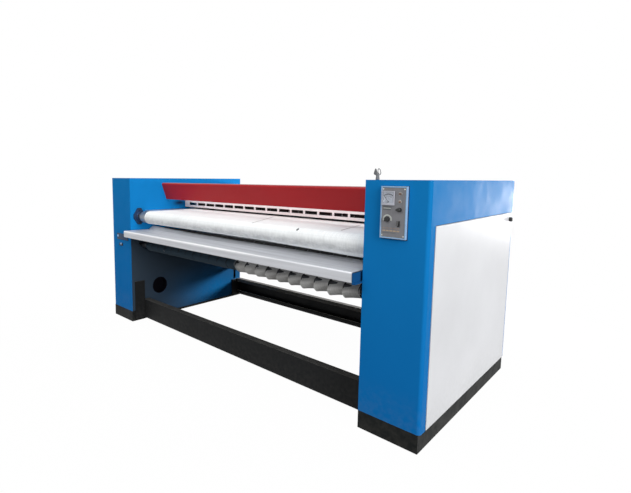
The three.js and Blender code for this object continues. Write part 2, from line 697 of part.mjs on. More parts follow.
function gearMotor() {
  const low = plinthHeight + gap;
  const m = motor;
  const g = gearCase;
  const t = terminalBox;
  const s = motorStand;
  const axisHeight = m.z - m.down;
  const gear = block(m.x - g.out, chain.inner - g.room, m.y - g.half, m.y + g.half, low + g.lift, m.z + g.up);
  const foot = block(m.x - g.out, m.x + motorFoot.out, m.y - g.half, m.y + m.cowlBack, low,
    low + motorFoot.thick);
  const neck = rodY(motorNeck.radius, m.x - motorNeck.in, m.y + motorNeck.front, m.y + motorNeck.back,
    axisHeight, 16);
  const body = rodY(m.radius, m.x, m.y + m.front, m.y + m.back, axisHeight, 24);
  const cowl = rodY(m.cowl, m.x, m.y + m.cowlFront, m.y + m.cowlBack, axisHeight, 24);
  const terminal = block(m.x - t.half, m.x + t.half, m.y + t.front, m.y + t.back, m.z, m.z + t.tall);
  const stand = block(m.x - s.half, m.x + s.half, m.y + s.front, m.y + s.back, low + s.lift, m.z - s.down);
  const bore = rodX(m.shaft + 0.6, m.x - 82, chain.inner + 1, m.y, m.z, 16);
  return cut(join(gear, foot, neck, body, cowl, terminal, stand), bore);
}

function motorSprocket() {
  return join(sprocket(motorSprocketRadius, motorHub, 0, motor.y, motor.z),
    rodX(motor.shaft, motor.x - 52, chain.outer + 8, motor.y, motor.z, 16));
}

// ---- outfeed ------------------------------------------------------------------------
function outfeedTray() {
  const t = tray;
  const flatEnd = [t.flatBack, t.top - t.fall];
  const line = [...trayHem.map(([back, up]) => [trayFront + back, t.low + up]),
    ...trayNose.map(([back, down]) => [trayFront + back, t.top - down]), flatEnd,
    ...trayStep.map(([back, up]) => [flatEnd[0] + back, flatEnd[1] + up])];
  return bentSheet(line.reverse(), t.thick, -t.half, t.half);
}

function trayBracket(side) {
  const x0 = tray.half + gap;
  const b = bracket;
  const wallIn = xIn - gap - b.plate;
  const plate = block(x0, x0 + b.plate, trayFront + 3, b.back, b.low, b.top);
  const arm = block(x0, xIn - gap, trayFront + 7, b.back, b.low, b.low + b.armThick);
  const wall = block(wallIn, xIn - gap, 8, b.back, b.low, b.top);
  let body = join(plate, arm, wall);
  if (side < 0) {
    const tab = block(wallIn, xIn + b.tabReach, -6, -gap, b.low, b.top);
    const bridge = block(wallIn, xIn - gap, -6, 10, b.low, b.top);
    const bolts = [b.low + b.boltUp, b.top - b.boltDown].map((z) =>
      rodY(6, xIn + b.tabReach - b.boltIn, -11, -5, z, 6));
    body = join(body, tab, bridge, ...bolts);
  }
  return toSide(side, body);
}

// ---- controls -----------------------------------------------------------------------
const panelX = (share) => box.x0 + share * (box.x1 - box.x0);
const panelZ = (share) => box.z1 - share * (box.z1 - box.z0);

function controlBox() {
  const body = block(box.x0, box.x1, -box.out, -gap, box.z0, box.z1);
  const hollow = block(box.x0 + box.wall, box.x1 - box.wall, panelFace + 1.8, -gap - box.wall,
    box.z0 + box.wall, box.z1 - box.wall);
  const mouth = block(box.x0 + box.rim, box.x1 - box.rim, -box.out - 1, -gap - box.wall,
    box.z0 + box.rim, box.z1 - box.rim);
  return cut(body, hollow, mouth);
}

const speed = { x: panelX(0.28), z: panelZ(0.63), radius: 13 };
const selector = { x: panelX(0.74), z: panelZ(0.44) };
const toggle = { x: panelX(0.71), z: panelZ(0.71), half: 5, tall: 12 };
const lamp = { x: panelX(0.74), z: panelZ(0.29) };
const fuse = { x: panelX(0.74), z: panelZ(0.14) };
const meter = { x0: panelX(0.06), x1: panelX(0.54), z0: panelZ(0.36), z1: panelZ(0.09), out: 8, rim: 4 };
meter.x = (meter.x0 + meter.x1) / 2;
meter.pivot = meter.z0 + 16;

function panelPlate() {
  const m = gap;
  const body = block(box.x0 + box.rim + m, box.x1 - box.rim - m, panelFace, panelFace + 1.5,
    box.z0 + box.rim + m, box.z1 - box.rim - m);
  const holes = [[speed, 4.6], [selector, 4.6], [lamp, 4.6], [fuse, 4.6], [toggle, 5.5]].map(([c, r]) =>
    rodY(r, c.x, panelFace - 5, panelFace + 5, c.z, 12));
  return cut(body, ...holes);
}

function meterHousing() {
  const face = panelFace - gap;
  const body = block(meter.x0, meter.x1, face - meter.out, face, meter.z0, meter.z1);
  const window = block(meter.x0 + meter.rim, meter.x1 - meter.rim, face - meter.out - 1, face - 2,
    meter.z0 + 10, meter.z1 - meter.rim);
  const pin = rodY(1.2, meter.x, face - 5, face - 1, meter.pivot, 8);
  return join(cut(body, window), pin);
}

function meterNeedle() {
  const face = panelFace - gap - 2 - gap;
  const hub = rodY(3.4, meter.x, face - 1.5, face, meter.pivot, 12);
  const pointer = block(meter.x - 0.7, meter.x + 0.7, face - 1.2, face - 0.3, meter.pivot, meter.pivot + 38);
  const bore = rodY(1.6, meter.x, face - 5, face + 5, meter.pivot, 8);
  const body = cut(join(hub, pointer), bore).translate([-meter.x, 0, -meter.pivot]);
  return body.rotate([0, -36, 0]).translate([meter.x, 0, meter.pivot]);
}

function meterGlass() {
  const face = panelFace - gap;
  return block(meter.x0 + meter.rim + gap, meter.x1 - meter.rim - gap, face - meter.out + 0.3,
    face - meter.out + 1.5, meter.z0 + 10 + gap, meter.z1 - meter.rim - gap);
}

function knob(c, radius, out, pointer) {
  const face = panelFace - gap;
  const stem = rodY(4, c.x, face - 2, face + 10, c.z, 12);
  const body = rodY(radius, c.x, face - out, face, c.z, 20);
  const bar = block(c.x - pointer.half, c.x + pointer.half, face - out - pointer.out, face - out + 1,
    c.z - pointer.thick / 2, c.z + pointer.thick / 2);
  const turnedBar = bar.translate([-c.x, 0, -c.z]).rotate([0, pointer.angle, 0]).translate([c.x, 0, c.z]);
  return join(stem, body, turnedBar);
}

function toggleLever() {
  const face = panelFace - gap;
  const ball = rodX(4.4, toggle.x - 2.5, toggle.x + 2.5, panelFace + 1, toggle.z, 12);
  const neck = rodY(2.6, toggle.x, face - 6, panelFace + 1, toggle.z, 10);
  const paddle = block(toggle.x - toggle.half, toggle.x + toggle.half, face - 12, face - 5,
    toggle.z - toggle.tall, toggle.z + toggle.tall);
  const body = join(ball, neck, paddle).translate([-toggle.x, -panelFace - 1, -toggle.z]);
  return body.rotate([-16, 0, 0]).translate([toggle.x, panelFace + 1, toggle.z]);
}

function cap(c, radius, out) {
  const face = panelFace - gap;
  return join(rodY(radius, c.x, face - out, face, c.z, 14), rodY(4, c.x, face - 1, face + 8, c.z, 12));
}

function wingScrew() {
  const z0 = machineHeight + gap;
  const stem = rodZ(wing.stem, wing.x, wing.y, machineHeight - 30, z0 + 34, 12);
  const hub = rodZ(wing.hub, wing.x, wing.y, z0, z0 + 30, 16);
  const ears = [-1, 1].map((side) => {
    const outline = [[2, 24], [12, 24], [26, 44], [27, 62], [20, 71], [12, 64], [2, 38]];
    const shape = new THREE.Shape(outline.map(([x, z]) => new THREE.Vector2(x, z)));
    const hole = [[10, 41], [18, 50], [20, 60], [15, 58]];
    if (side > 0) shape.holes.push(new THREE.Path(hole.map(([x, z]) => new THREE.Vector2(x, z))));
    const geometry = new THREE.ExtrudeGeometry(shape, { depth: 5, bevelEnabled: false });
    geometry.translate(0, 0, -2.5);
    geometry.rotateX(Math.PI / 2);
    if (side < 0) geometry.rotateZ(Math.PI);
    geometry.translate(wing.x, wing.y, z0);
    return toManifold(geometry);
  });
  return join(stem, hub, ...ears);
}

function powerGland() {
  const nut = rodY(17, gland.x, cabinetDepth + gap, rearMost, gland.z, 6);
  const thread = rodY(10, gland.x, cabinetDepth - 14, cabinetDepth + 2, gland.z, 14);
  return cut(join(nut, thread), rodY(6, gland.x, cabinetDepth - 30, rearMost + 5, gland.z, 12));
}

// ---- assembly -----------------------------------------------------------------------
for (const side of [-1, 1]) {
  const s = sideName(side);
  node('frame', `${s}_plinth`, toSide(side, plinth()), paint.black);
}
node('frame', 'front_cross_beam', frontBeam(), paint.black);
node('frame', 'rear_cross_beam', backBeam(), paint.black);

for (const side of [-1, 1]) {
  const s = sideName(side);
  const hinge = [side * (xOut - hingePin.inset), door.front + hingePin.fromFront, 0];
  node('frame', `${s}_side_frame`, toSide(side, sideFrame()), paint.castGrey);
  node('cabinets', `${s}_cabinet_casing`, casing(side), paint.blue);
  node('cabinets', `${s}_inner_panel`, innerPanel(side), paint.blue);
  node('cabinets', `${s}_side_door`, toSide(side, sideDoor()), paint.white, hinge);
  node('cabinets', `${s}_door_hinge_rod`, toSide(side, hingeRod()), paint.steel, hinge);
  node('cabinets', `${s}_door_lock`, toSide(side, doorLock()), paint.plasticBlack,
    [side * xOut, lock.y, lock.z]);
  node('feed', `${s}_front_roller_bearing`, toSide(side, flangeBearing(side)), paint.castGrey,
    [side * xIn, frontFeed.y, frontFeed.z]);
  node('ironing', `${s}_drum_bearing`, toSide(side, drumBearing()), paint.castGrey,
    [side * frameOut, drum.y, drum.z]);
  node('outfeed', `${s}_tray_bracket`, trayBracket(side), paint.blue);
}
node('cabinets', 'round_port_cup', portCup(), paint.black, [-xIn, port.y, port.z]);

node('feed', 'feed_table_bed', feedBed(), paint.steel);
node('feed', 'front_feed_roller', frontFeedRoller(), paint.darkSteel, [0, frontFeed.y, frontFeed.z]);
node('feed', 'rear_feed_roller', roller(rearFeed, rollerEnd.left, rollerEnd.right, rearFeed.shaft,
  -frameOut + 1, frameOut - 1), paint.steel, [0, rearFeed.y, rearFeed.z]);
node('feed', 'feed_apron', feedApron(), paint.canvasWhite);
node('feed', 'red_hood', redHood(), paint.red);
node('feed', 'rear_cover', rearCover(), paint.blue);
node('feed', 'finger_guard', fingerGuard(), paint.steel, [0, guard.y, guard.top - 8]);

node('ironing', 'ironing_drum', ironingDrum(), paint.steel, [0, drum.y, drum.z]);
for (const [name, spec] of Object.entries(guideRollers)) {
  node('ironing', `${name}_roller`, roller(spec, -guideHalf, guideHalf, guideShaft, -frameOut + 1,
    frameOut - 1, 16), paint.steel, [0, spec.y, spec.z]);
}
node('ironing', 'ironing_belts', ironingBelts(), paint.canvasGrey);
node('ironing', 'steam_rotary_joint', rotaryJoint(), paint.brass, [-journalEnd, drum.y, drum.z]);
node('ironing', 'steam_pipe', steamPipe(), paint.darkSteel);

node('drive', 'gear_motor', gearMotor(), paint.castGrey);
node('drive', 'motor_sprocket', motorSprocket(), paint.darkSteel, [driveX, motor.y, motor.z]);
node('drive', 'drum_sprocket', sprocket(bigSprocket, bigHub, drum.journal + 0.7, drum.y, drum.z),
  paint.darkSteel, [driveX, drum.y, drum.z]);
node('drive', 'drive_chain', chainLoop(drum, bigSprocket, motor, motorSprocketRadius), paint.darkSteel);
node('drive', 'feed_drive_sprocket', mirror(sprocket(bigSprocket, bigHub, drum.journal + 0.7, drum.y, drum.z)),
  paint.darkSteel, [-driveX, drum.y, drum.z]);
node('drive', 'feed_roller_sprocket', mirror(sprocket(feedSprocketRadius, feedHub, feedStub + 0.5, frontFeed.y,
  frontFeed.z)), paint.darkSteel, [-driveX, frontFeed.y, frontFeed.z]);
node('drive', 'feed_chain', mirror(chainLoop(drum, bigSprocket, frontFeed, feedSprocketRadius)),
  paint.darkSteel);

node('outfeed', 'outfeed_tray', outfeedTray(), paint.steel);

node('controls', 'control_box', controlBox(), paint.boxGrey);
node('controls', 'control_panel', panelPlate(), paint.plateGrey);
node('controls', 'meter_housing', meterHousing(), paint.dial);
node('controls', 'meter_needle', meterNeedle(), paint.plasticBlack, [meter.x, panelFace, meter.pivot]);
node('controls', 'meter_glass', meterGlass(), paint.glass);
node('controls', 'speed_knob', knob(speed, speed.radius, 14, { half: 13, out: 5, thick: 6, angle: -52 }),
  paint.plasticBlack, [speed.x, panelFace, speed.z]);
node('controls', 'selector_knob', knob(selector, 10, 10, { half: 14, out: 7, thick: 9, angle: 0 }),
  paint.plasticBlack, [selector.x, panelFace, selector.z]);
node('controls', 'toggle_switch', toggleLever(), paint.plasticBlack, [toggle.x, panelFace + 1, toggle.z]);
node('controls', 'indicator_lamp', cap(lamp, 6.5, 7), paint.amber, [lamp.x, panelFace, lamp.z]);
node('controls', 'fuse_cap', cap(fuse, 6.5, 6), paint.plasticBlack, [fuse.x, panelFace, fuse.z]);
node('controls', 'wing_screw', wingScrew(), paint.steel, [wing.x, wing.y, machineHeight]);
node('controls', 'power_gland', powerGland(), paint.plasticBlack, [gland.x, cabinetDepth, gland.z]);

machine.position.set(0, -middleY, 0);
export default machine;
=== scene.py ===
"""Looks of a single-drum flatwork ironer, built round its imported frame. Metres, +Z up."""
import random
from math import acos, atan2, ceil, cos, exp, hypot, pi, radians, sin, tan

import bmesh
import bpy
from mathutils import Matrix, Vector, noise


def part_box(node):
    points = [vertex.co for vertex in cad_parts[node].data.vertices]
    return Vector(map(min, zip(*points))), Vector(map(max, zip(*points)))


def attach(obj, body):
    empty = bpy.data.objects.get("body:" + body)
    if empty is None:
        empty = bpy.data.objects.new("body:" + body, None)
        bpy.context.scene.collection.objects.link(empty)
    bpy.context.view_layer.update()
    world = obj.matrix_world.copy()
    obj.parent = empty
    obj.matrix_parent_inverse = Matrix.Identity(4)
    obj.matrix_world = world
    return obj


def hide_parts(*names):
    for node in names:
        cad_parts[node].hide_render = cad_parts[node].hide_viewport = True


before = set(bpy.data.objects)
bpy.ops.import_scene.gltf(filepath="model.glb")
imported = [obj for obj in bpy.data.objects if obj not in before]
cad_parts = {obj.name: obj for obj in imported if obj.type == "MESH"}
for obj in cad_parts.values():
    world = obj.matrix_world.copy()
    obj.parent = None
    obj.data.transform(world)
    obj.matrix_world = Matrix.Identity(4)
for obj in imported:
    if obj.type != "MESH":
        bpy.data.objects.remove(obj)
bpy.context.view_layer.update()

MM = 0.001
random.seed(41)

# ---- places taken from the frame ----
casing_low, casing_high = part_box("right_cabinet_casing")
X_OUT, X_IN = casing_high.x, casing_low.x      # outer and inner face of the right cabinet
FRONT, TOP = casing_low.y, casing_high.z

BELT_TOP, BELT_FADE = 0.79, 0.03               # the belts' return run stays under it; the inner wall is painted darker below it, and the belts above it, as shade
APRON_THICK, SHEET_THICK = 2.5 * MM, 2.5 * MM
BELT_THICK, BELT_PITCH, BELT_GAP, BELT_SHIFT = 2.5 * MM, 97 * MM, 7 * MM, 36 * MM
BELT_ON_ROLLER, BELT_ON_DRUM = 1.2 * MM, 0.8 * MM      # running clearance of the belts
FIT = 0.3 * MM                                 # clearance of the apron on its rollers
ROLLER_LEFT, ROLLER_RIGHT = -(X_IN - 0.100), X_IN - 0.016      # ends of the two feed rollers
LOCK_KNOB = 0.015
DARN_X, DARN_TURN = 0.692, radians(33)         # a mended spot on the apron, turned forward from the top


def yz(y, z):
    """A point of the side view: millimetres behind the cabinets' front and above the floor."""
    return FRONT + y * MM, z * MM


def centre(node):
    low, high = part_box(node)
    return (low + high) / 2


def radius_of(node):
    low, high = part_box(node)
    return (high.z - low.z) / 2


def placed(name, data):
    """A new object in the scene."""
    made = bpy.data.objects.new(name, data)
    bpy.context.scene.collection.objects.link(made)
    return made


# ---- camera ----
CAMERA_PLACE = Vector((X_OUT + 0.7795, FRONT - 1.9023, 1.3012))
CAMERA_YAW, CAMERA_PITCH, CAMERA_ROLL = -44.88, -6.067, 0.378      # degrees
CAMERA_LENS, CAMERA_SHIFT = 24.35, (0.0983, -0.0355)


def make_camera():
    yaw, pitch, roll = (radians(a) for a in (CAMERA_YAW, CAMERA_PITCH, CAMERA_ROLL))
    ahead = Vector((sin(yaw) * cos(pitch), cos(yaw) * cos(pitch), sin(pitch)))
    level = Vector((cos(yaw), -sin(yaw), 0))
    upright = level.cross(ahead)
    right = cos(roll) * level + sin(roll) * upright
    up = right.cross(ahead)
    data = bpy.data.cameras.new("photo_camera")
    data.lens = CAMERA_LENS
    data.sensor_width = 36
    data.shift_x, data.shift_y = CAMERA_SHIFT
    data.clip_start, data.clip_end = 0.05, 100
    camera = placed("photo_camera", data)
    turn = Matrix((right, up, -ahead)).transposed().to_4x4()
    camera.matrix_world = Matrix.Translation(CAMERA_PLACE) @ turn
    bpy.context.scene.camera = camera


make_camera()

# ---- materials ----
DUST, LINT_AND_HIGHLIGHT, STREAK_GREY = (150, 146, 138), (168, 166, 162), (122, 124, 129)      # sRGB, 0 to 255
WALL_SHADE_COLOUR, HOOD_END_SHADOW_COLOUR, BELT_SHADE_COLOUR, SHADED_CLOTH_GREY = (54, 66, 79), (30, 26, 48), (45, 66, 81), (104, 106, 108)
OIL, PORES, NOSE_HIGHLIGHT_COLOUR = (38, 30, 22), (40, 38, 36), (246, 246, 248)


def linear(r, g, b):
    """An sRGB colour of 0 to 255 as linear light."""
    shares = [v / 255 for v in (r, g, b)]
    return tuple(s / 12.92 if s <= 0.04045 else ((s + 0.055) / 1.055) ** 2.4 for s in shares)


def is_socket(value):
    return isinstance(value, bpy.types.NodeSocket)


class Nodes:
    """The node tree of a material or of the world."""

    def __init__(self, owner):
        owner.use_nodes = True
        self.tree = owner.node_tree

    def put(self, socket, value):
        """Links another node's output to a socket, or writes a plain value into it."""
        if is_socket(value):
            self.tree.links.new(value, socket)
        else:
            socket.default_value = value

    def add(self, kind, inputs=None, **settings):
        node = self.tree.nodes.new("ShaderNode" + kind)
        for name, value in settings.items():
            setattr(node, name, value)
        for socket, value in (inputs or {}).items():
            self.put(node.inputs[socket], value)
        return node

    def spread(self, value, from_low, from_high, to_low=0.0, to_high=1.0):
        inputs = {"Value": value, "From Min": from_low, "From Max": from_high,
                  "To Min": to_low, "To Max": to_high}
        return self.add("MapRange", inputs).outputs["Result"]

    def calc(self, operation, a, b):
        return self.add("Math", {0: a, 1: b}, operation=operation).outputs["Value"]

    def times(self, a, b):
        return self.calc("MULTIPLY", a, b)


class Surface(Nodes):
    """A procedural material: its calls add nodes in front of one Principled shader, and base is the
    colour so far."""

    def __init__(self, name, colour, roughness, metallic=0.0, **more):
        self.material = bpy.data.materials.new(name)
        super().__init__(self.material)
        self.shader = self.tree.nodes["Principled BSDF"]
        self.colour, self.base = linear(*colour), None
        start = {"Base Color": (*self.colour, 1), "Roughness": roughness, "Metallic": metallic, **more}
        for socket, value in start.items():
            self.set(socket.replace("_", " "), value)
        self.point = self.add("TexCoord").outputs["Object"]

    def set(self, socket, value):
        self.put(self.shader.inputs[socket], value)

    def noise(self, scale, detail, stretch=(1, 1, 1), rough=0.5):
        place = self.add("Mapping", {"Vector": self.point, "Scale": stretch})
        inputs = {"Vector": place.outputs["Vector"], "Scale": scale, "Detail": detail, "Roughness": rough}
        return self.add("TexNoise", inputs).outputs["Fac"]

    def blotch(self, scale, detail, levels=(0.3, 0.7), stretch=(1, 1, 1), rough=0.5):
        """Noise between two of its own levels, as 0 to 1 or as the two further levels."""
        return self.spread(self.noise(scale, detail, stretch, rough), *levels)

    def waves(self, scale, direction):
        inputs = {"Vector": self.point, "Scale": scale, "Distortion": 0.4, "Detail": 0.0}
        return self.add("TexWave", inputs, bands_direction=direction).outputs["Fac"]

    def axis(self, letter):
        return self.add("SeparateXYZ", {"Vector": self.point}).outputs[letter]

    def ramp(self, letter, *levels):
        """A spread over one of the three axes."""
        return self.spread(self.axis(letter), *levels)

    def near(self, y, z, deep, tall):
        """1 at a point of the side view, falling off like a bell over the half sizes deep and tall."""
        cloud = self.blotch(3.4, 4, (0.3, 0.7, -0.12, 0.12))
        across = self.calc("DIVIDE", self.calc("SUBTRACT", self.axis("Y"), y), deep)
        up = self.calc("DIVIDE", self.calc("SUBTRACT", self.axis("Z"), z), tall)
        square = self.calc("ADD", self.times(across, across), self.times(up, up))
        return self.calc("POWER", exp(-1), self.calc("ADD", square, cloud))

    def scaled(self, share):
        return tuple(min(1.0, c * share) for c in self.colour)

    def mix(self, factor, low, high):
        """From colour low to colour high; a colour is a socket or linear (r, g, b)."""
        low, high = (colour if is_socket(colour) else (*colour, 1) for colour in (low, high))
        return self.add("Mix", {0: factor, 6: low, 7: high}, data_type="RGBA").outputs[2]

    def mottle(self, factor, low, high):
        """Starts the base between two shares of the surface's own colour."""
        self.base = self.mix(factor, self.scaled(low), self.scaled(high))

    def tint(self, factor, colour):
        """Blends the base towards an sRGB colour, or towards a share of the surface's own colour."""
        target = linear(*colour) if isinstance(colour, tuple) else self.scaled(colour)
        self.base = self.mix(factor, self.base, target)

    def end(self, roughness=None, relief=None, depth=0.0, strength=0.5):
        """Joins the colour, the roughness and the relief to the shader."""
        if self.base:
            self.set("Base Color", self.base)
        if roughness:
            self.set("Roughness", roughness)
        if relief:
            inputs = {"Height": relief, "Distance": depth, "Strength": strength}
            self.set("Normal", self.add("Bump", inputs).outputs["Normal"])
        return self.material


def paint(name, colour, roughness, shine, dirt=0.0, shade_low_colour=None, peel=0.00012, lint_and_highlight=0.0, wall_shade=None,
          hood_end_shadow=None, top_edge_highlight=None):
    """Sprayed paint: orange peel, faint clouding, dust near the floor, fine scratches. The low colour is
    painted shade, deeper towards the floor. The lint share paints up-facing faces pale: lint, and on the
    rear beam also a painted highlight on its lit tops. The wall shade (y, z, deep, tall) is painted shade
    below the belts with one lit patch left clear; the hood-end shadow (y, z, deep, tall) is a painted shadow
    spot; the top-edge highlight (low, high, colour, share) is a painted highlight between two heights."""
    s = Surface(name, colour, roughness, Specular_IOR_Level=shine)
    s.mottle(s.blotch(2.2, 3), 0.95, 1.05)
    # painted shade: the paint darkens from the cabinet top down to the floor, towards the low colour
    if shade_low_colour:
        s.tint(s.ramp("Z", TOP, 0.1), shade_low_colour)
    s.tint(s.times(s.ramp("Z", 0.30, 0.02, 0.0, dirt), s.blotch(38, 4, (0.35, 0.75))), DUST)
    s.tint(s.blotch(60, 2, (0.76, 0.82, 0.0, 0.15), (1, 1, 0.06)), 1.25)
    # pale faces that look up: lint, and on the rear beam, with its full share, also a painted highlight on
    # its lit tops
    if lint_and_highlight:
        facing = s.add("SeparateXYZ", {"Vector": s.add("NewGeometry").outputs["Normal"]}).outputs["Z"]
        level = s.spread(facing, 0.6, 0.95, 0.0, lint_and_highlight)
        s.tint(s.times(level, s.blotch(17, 4, (0.25, 0.65, 0.55, 1.0))), LINT_AND_HIGHLIGHT)
    # painted highlight: a pale greyish band along the hood's rounded top edge, between two heights
    if top_edge_highlight:
        low, high, highlight_colour, share = top_edge_highlight
        s.tint(s.ramp("Z", low, high, 0.0, share), highlight_colour)
    # painted shade: a dark film on the inner wall below the belts' level, left clear on one patch lit
    # through the rear opening
    if wall_shade:
        wall_shade_mask = s.calc("SUBTRACT", 1.0, s.near(*wall_shade))
        s.tint(s.times(wall_shade_mask, s.ramp("Z", BELT_TOP + BELT_FADE, BELT_TOP)), WALL_SHADE_COLOUR)
    # painted shadow: a dark spot on the inner wall just beyond the hood's end
    if hood_end_shadow:
        s.tint(s.times(s.near(*hood_end_shadow), 0.95), HOOD_END_SHADOW_COLOUR)
    rough = s.blotch(9, 3, (0.3, 0.7, roughness - 0.05, roughness + 0.09))
    return s.end(rough, s.noise(420, 1), peel)


def brushed(name, colour, roughness, along="X", metallic=1.0, grain=0.00008):
    """Bare metal with fine lines along one axis, long pale and dark streaks and a few smudges."""
    s = Surface(name, colour, roughness, metallic)
    thin, long = (tuple(share if letter == along else 1 for letter in "XYZ") for share in (0.02, 0.12))
    lines = s.noise(900, 3, thin, 0.7)
    s.mottle(s.blotch(26, 4, stretch=long, rough=0.6), 0.88, 1.12)
    s.tint(s.spread(lines, 0.3, 0.7, 0.0, 0.35), 0.72)
    rough = s.spread(lines, 0.2, 0.8, roughness - 0.05, roughness + 0.07)
    return s.end(s.calc("ADD", rough, s.blotch(5, 4, (0.35, 0.7, 0.0, 0.12))), lines, grain, 0.6)


def satin_sheet(name, colour, roughness, metallic, streak, nose_highlight=None):
    """Stainless sheet with a dull grain: long pale and grey streaks along the machine; the nose
    highlight (low, high, depth) is a painted bright band on its front edge, down from a height, fading out
    to the right."""
    s = Surface(name, colour, roughness, metallic)
    lines = s.noise(700, 3, (0.015, 1, 1), 0.7)
    s.mottle(s.blotch(30, 5, (0.32, 0.68), (0.03, 1, 1), 0.65), 1 - 1.4 * streak, 1 + streak)
    s.tint(s.blotch(7, 3, (0.45, 0.7, 0.0, 0.25), (0.2, 1, 1)), 0.82)
    s.tint(s.spread(lines, 0.35, 0.7, 0.0, 0.25), 0.8)
    if nose_highlight:
        low, high, depth = nose_highlight
        # painted highlight: a bright band on the rounded front edge, fading out towards +X
        highlight_mask = s.calc("MINIMUM", s.ramp("Z", low, high), s.ramp("Y", depth, FRONT - 0.072))
        s.tint(s.times(highlight_mask, s.ramp("X", 0.2, 0.65, 0.9, 0.05)), NOSE_HIGHLIGHT_COLOUR)
    return s.end(s.spread(lines, 0.2, 0.8, roughness - 0.06, roughness + 0.1), lines, 0.00006)


def turned_steel(name, colour, roughness=0.25, oil=0.0):
    """Steel with turning rings, darker with oil."""
    s = Surface(name, colour, roughness, 1.0)
    rings = s.noise(700, 2, (1, 0.01, 0.01))
    s.mottle(s.spread(rings, 0.3, 0.7), 0.88, 1.08)
    s.tint(s.blotch(14, 4, (0.4, 0.7, 0.0, oil)), OIL)
    return s.end(s.spread(rings, 0.3, 0.7, roughness - 0.04, roughness + 0.1), rings, 0.00006)


def casting(name, colour):
    """Painted or blackened rough metal."""
    s = Surface(name, colour, 0.6, 0.1)
    grain = s.noise(260, 4)
    s.mottle(s.blotch(9, 4), 0.85, 1.12)
    s.tint(s.spread(grain, 0.55, 0.7, 0.0, 0.3), PORES)
    return s.end(None, grain, 0.0006, 0.6)


def canvas(name, colour, thread=1.6, stain=(120, 118, 116), stain_share=0.12, streaks=None, belt_shade=None,
           sheen=0.25):
    """Woven cotton: crossed threads, uneven yarn, faint stains; streaks=(low, high, share) adds grey
    marks between two heights; the belt shade (from x, to x, share) is painted shade: it darkens one end of
    the front flaps, greys the cloth behind them and darkens the cloth near the drum."""
    s = Surface(name, colour, 0.92, Sheen_Weight=sheen, Sheen_Roughness=0.5, Specular_IOR_Level=2 * sheen)
    wave_scale = 1000 / thread / 20
    along = s.calc("MAXIMUM", s.waves(wave_scale, "Y"), s.waves(wave_scale, "Z"))
    weave = s.times(s.waves(wave_scale, "X"), along)
    s.mottle(s.blotch(90, 3, stretch=(1, 0.2, 0.2)), 0.93, 1.03)
    s.tint(s.spread(weave, 0.0, 0.6, 0.18, 0.0), 0.6)
    s.tint(s.blotch(3.1, 5, (0.48, 0.75, 0.0, stain_share), rough=0.6), stain)
    if streaks:
        low, high, share = streaks
        ends = s.calc("MINIMUM", s.ramp("Z", low + 0.006, low + 0.016), s.ramp("Z", high, (low + high) / 2))
        mark = s.blotch(34, 6, (0.36, 0.62, 0.35, 0.95), (0.4, 1.0, 1.0), 0.7)
        hair = s.blotch(95, 4, (0.60, 0.72, 0.0, 0.8), (1.0, 0.12, 0.12), 0.65)
        # grey streaks and hair-like marks on the apron's nose, between two heights
        s.tint(s.times(s.calc("MAXIMUM", mark, hair), s.times(ends, share)), STREAK_GREY)
    # painted shade: the cloth behind the front flaps greyed, the cloth above the belts' level near the drum
    # darkened, and the flaps' left end darkened under the tray
    if belt_shade:
        start, end, share = belt_shade
        front = s.ramp("Y", FRONT + 0.17, FRONT + 0.12)
        s.tint(s.calc("SUBTRACT", 1.0, front), SHADED_CLOTH_GREY)
        s.tint(s.ramp("Z", BELT_TOP, BELT_TOP + BELT_FADE, 0.0, 0.9), 0.05)
        s.tint(s.times(s.ramp("X", start, end, 0.0, share), front), BELT_SHADE_COLOUR)
    return s.end(None, weave, 0.0004)


def plastic(name, colour, roughness=0.4):
    s = Surface(name, colour, roughness)
    s.mottle(s.blotch(30, 3), 0.92, 1.1)
    rough = s.blotch(60, 3, (0.3, 0.7, roughness - 0.06, roughness + 0.08))
    return s.end(rough, s.noise(1400, 1), 0.00005)


def clear_glass(name):
    s = Surface(name, (245, 248, 250), 0.05, Transmission_Weight=1.0, IOR=1.45)
    return s.end(s.blotch(40, 3, (0.3, 0.8, 0.02, 0.08)))


# the cabinet blue, painted darker towards the floor as shade
blue_paint = paint("blue_paint", (19, 122, 190), 0.45, 0.02, 0.1, (14, 108, 178))
# the inner panels' blue, a little lighter than the cabinet blue as painted light on the lit inner wall; it
# also carries the painted shade below the belts and the painted shadow under the hood's end
inner_blue = paint("inner_blue_paint", (20, 128, 200), 0.5, 0.02, 0.1, (18, 124, 194),
                   wall_shade=(0.42, 0.14, 0.45, 0.22), hood_end_shadow=(-0.115, 1.066, 0.060, 0.022))
white_paint = paint("white_door_paint", (217, 218, 221), 0.42, 0.12, 0.2)
plinth_paint = paint("black_plinth_paint", (15, 18, 18), 0.55, 0.1, 0.06, peel=0.0003)
black_paint = paint("black_frame_paint", (31, 32, 33), 0.5, 0.06, 0.05, peel=0.0003, lint_and_highlight=0.15)
# the rear beam: its up-facing flanges painted pale, as lint and as a painted highlight
rear_beam_paint = paint("rear_beam_paint", (20, 20, 21), 0.5, 0.1, lint_and_highlight=1.0)
# pale grey for the rear beam's lips: a painted highlight
lip_highlight_grey = paint("lip_highlight_grey", (152, 148, 142), 0.6, 0.05)
bracket_paint = paint("bracket_paint", (20, 74, 122), 0.5, 0.05)
# pale blue for bolt heads on the bracket: a painted highlight
bolt_highlight = paint("bolt_painted_highlight", (150, 186, 226), 0.4, 0.3)
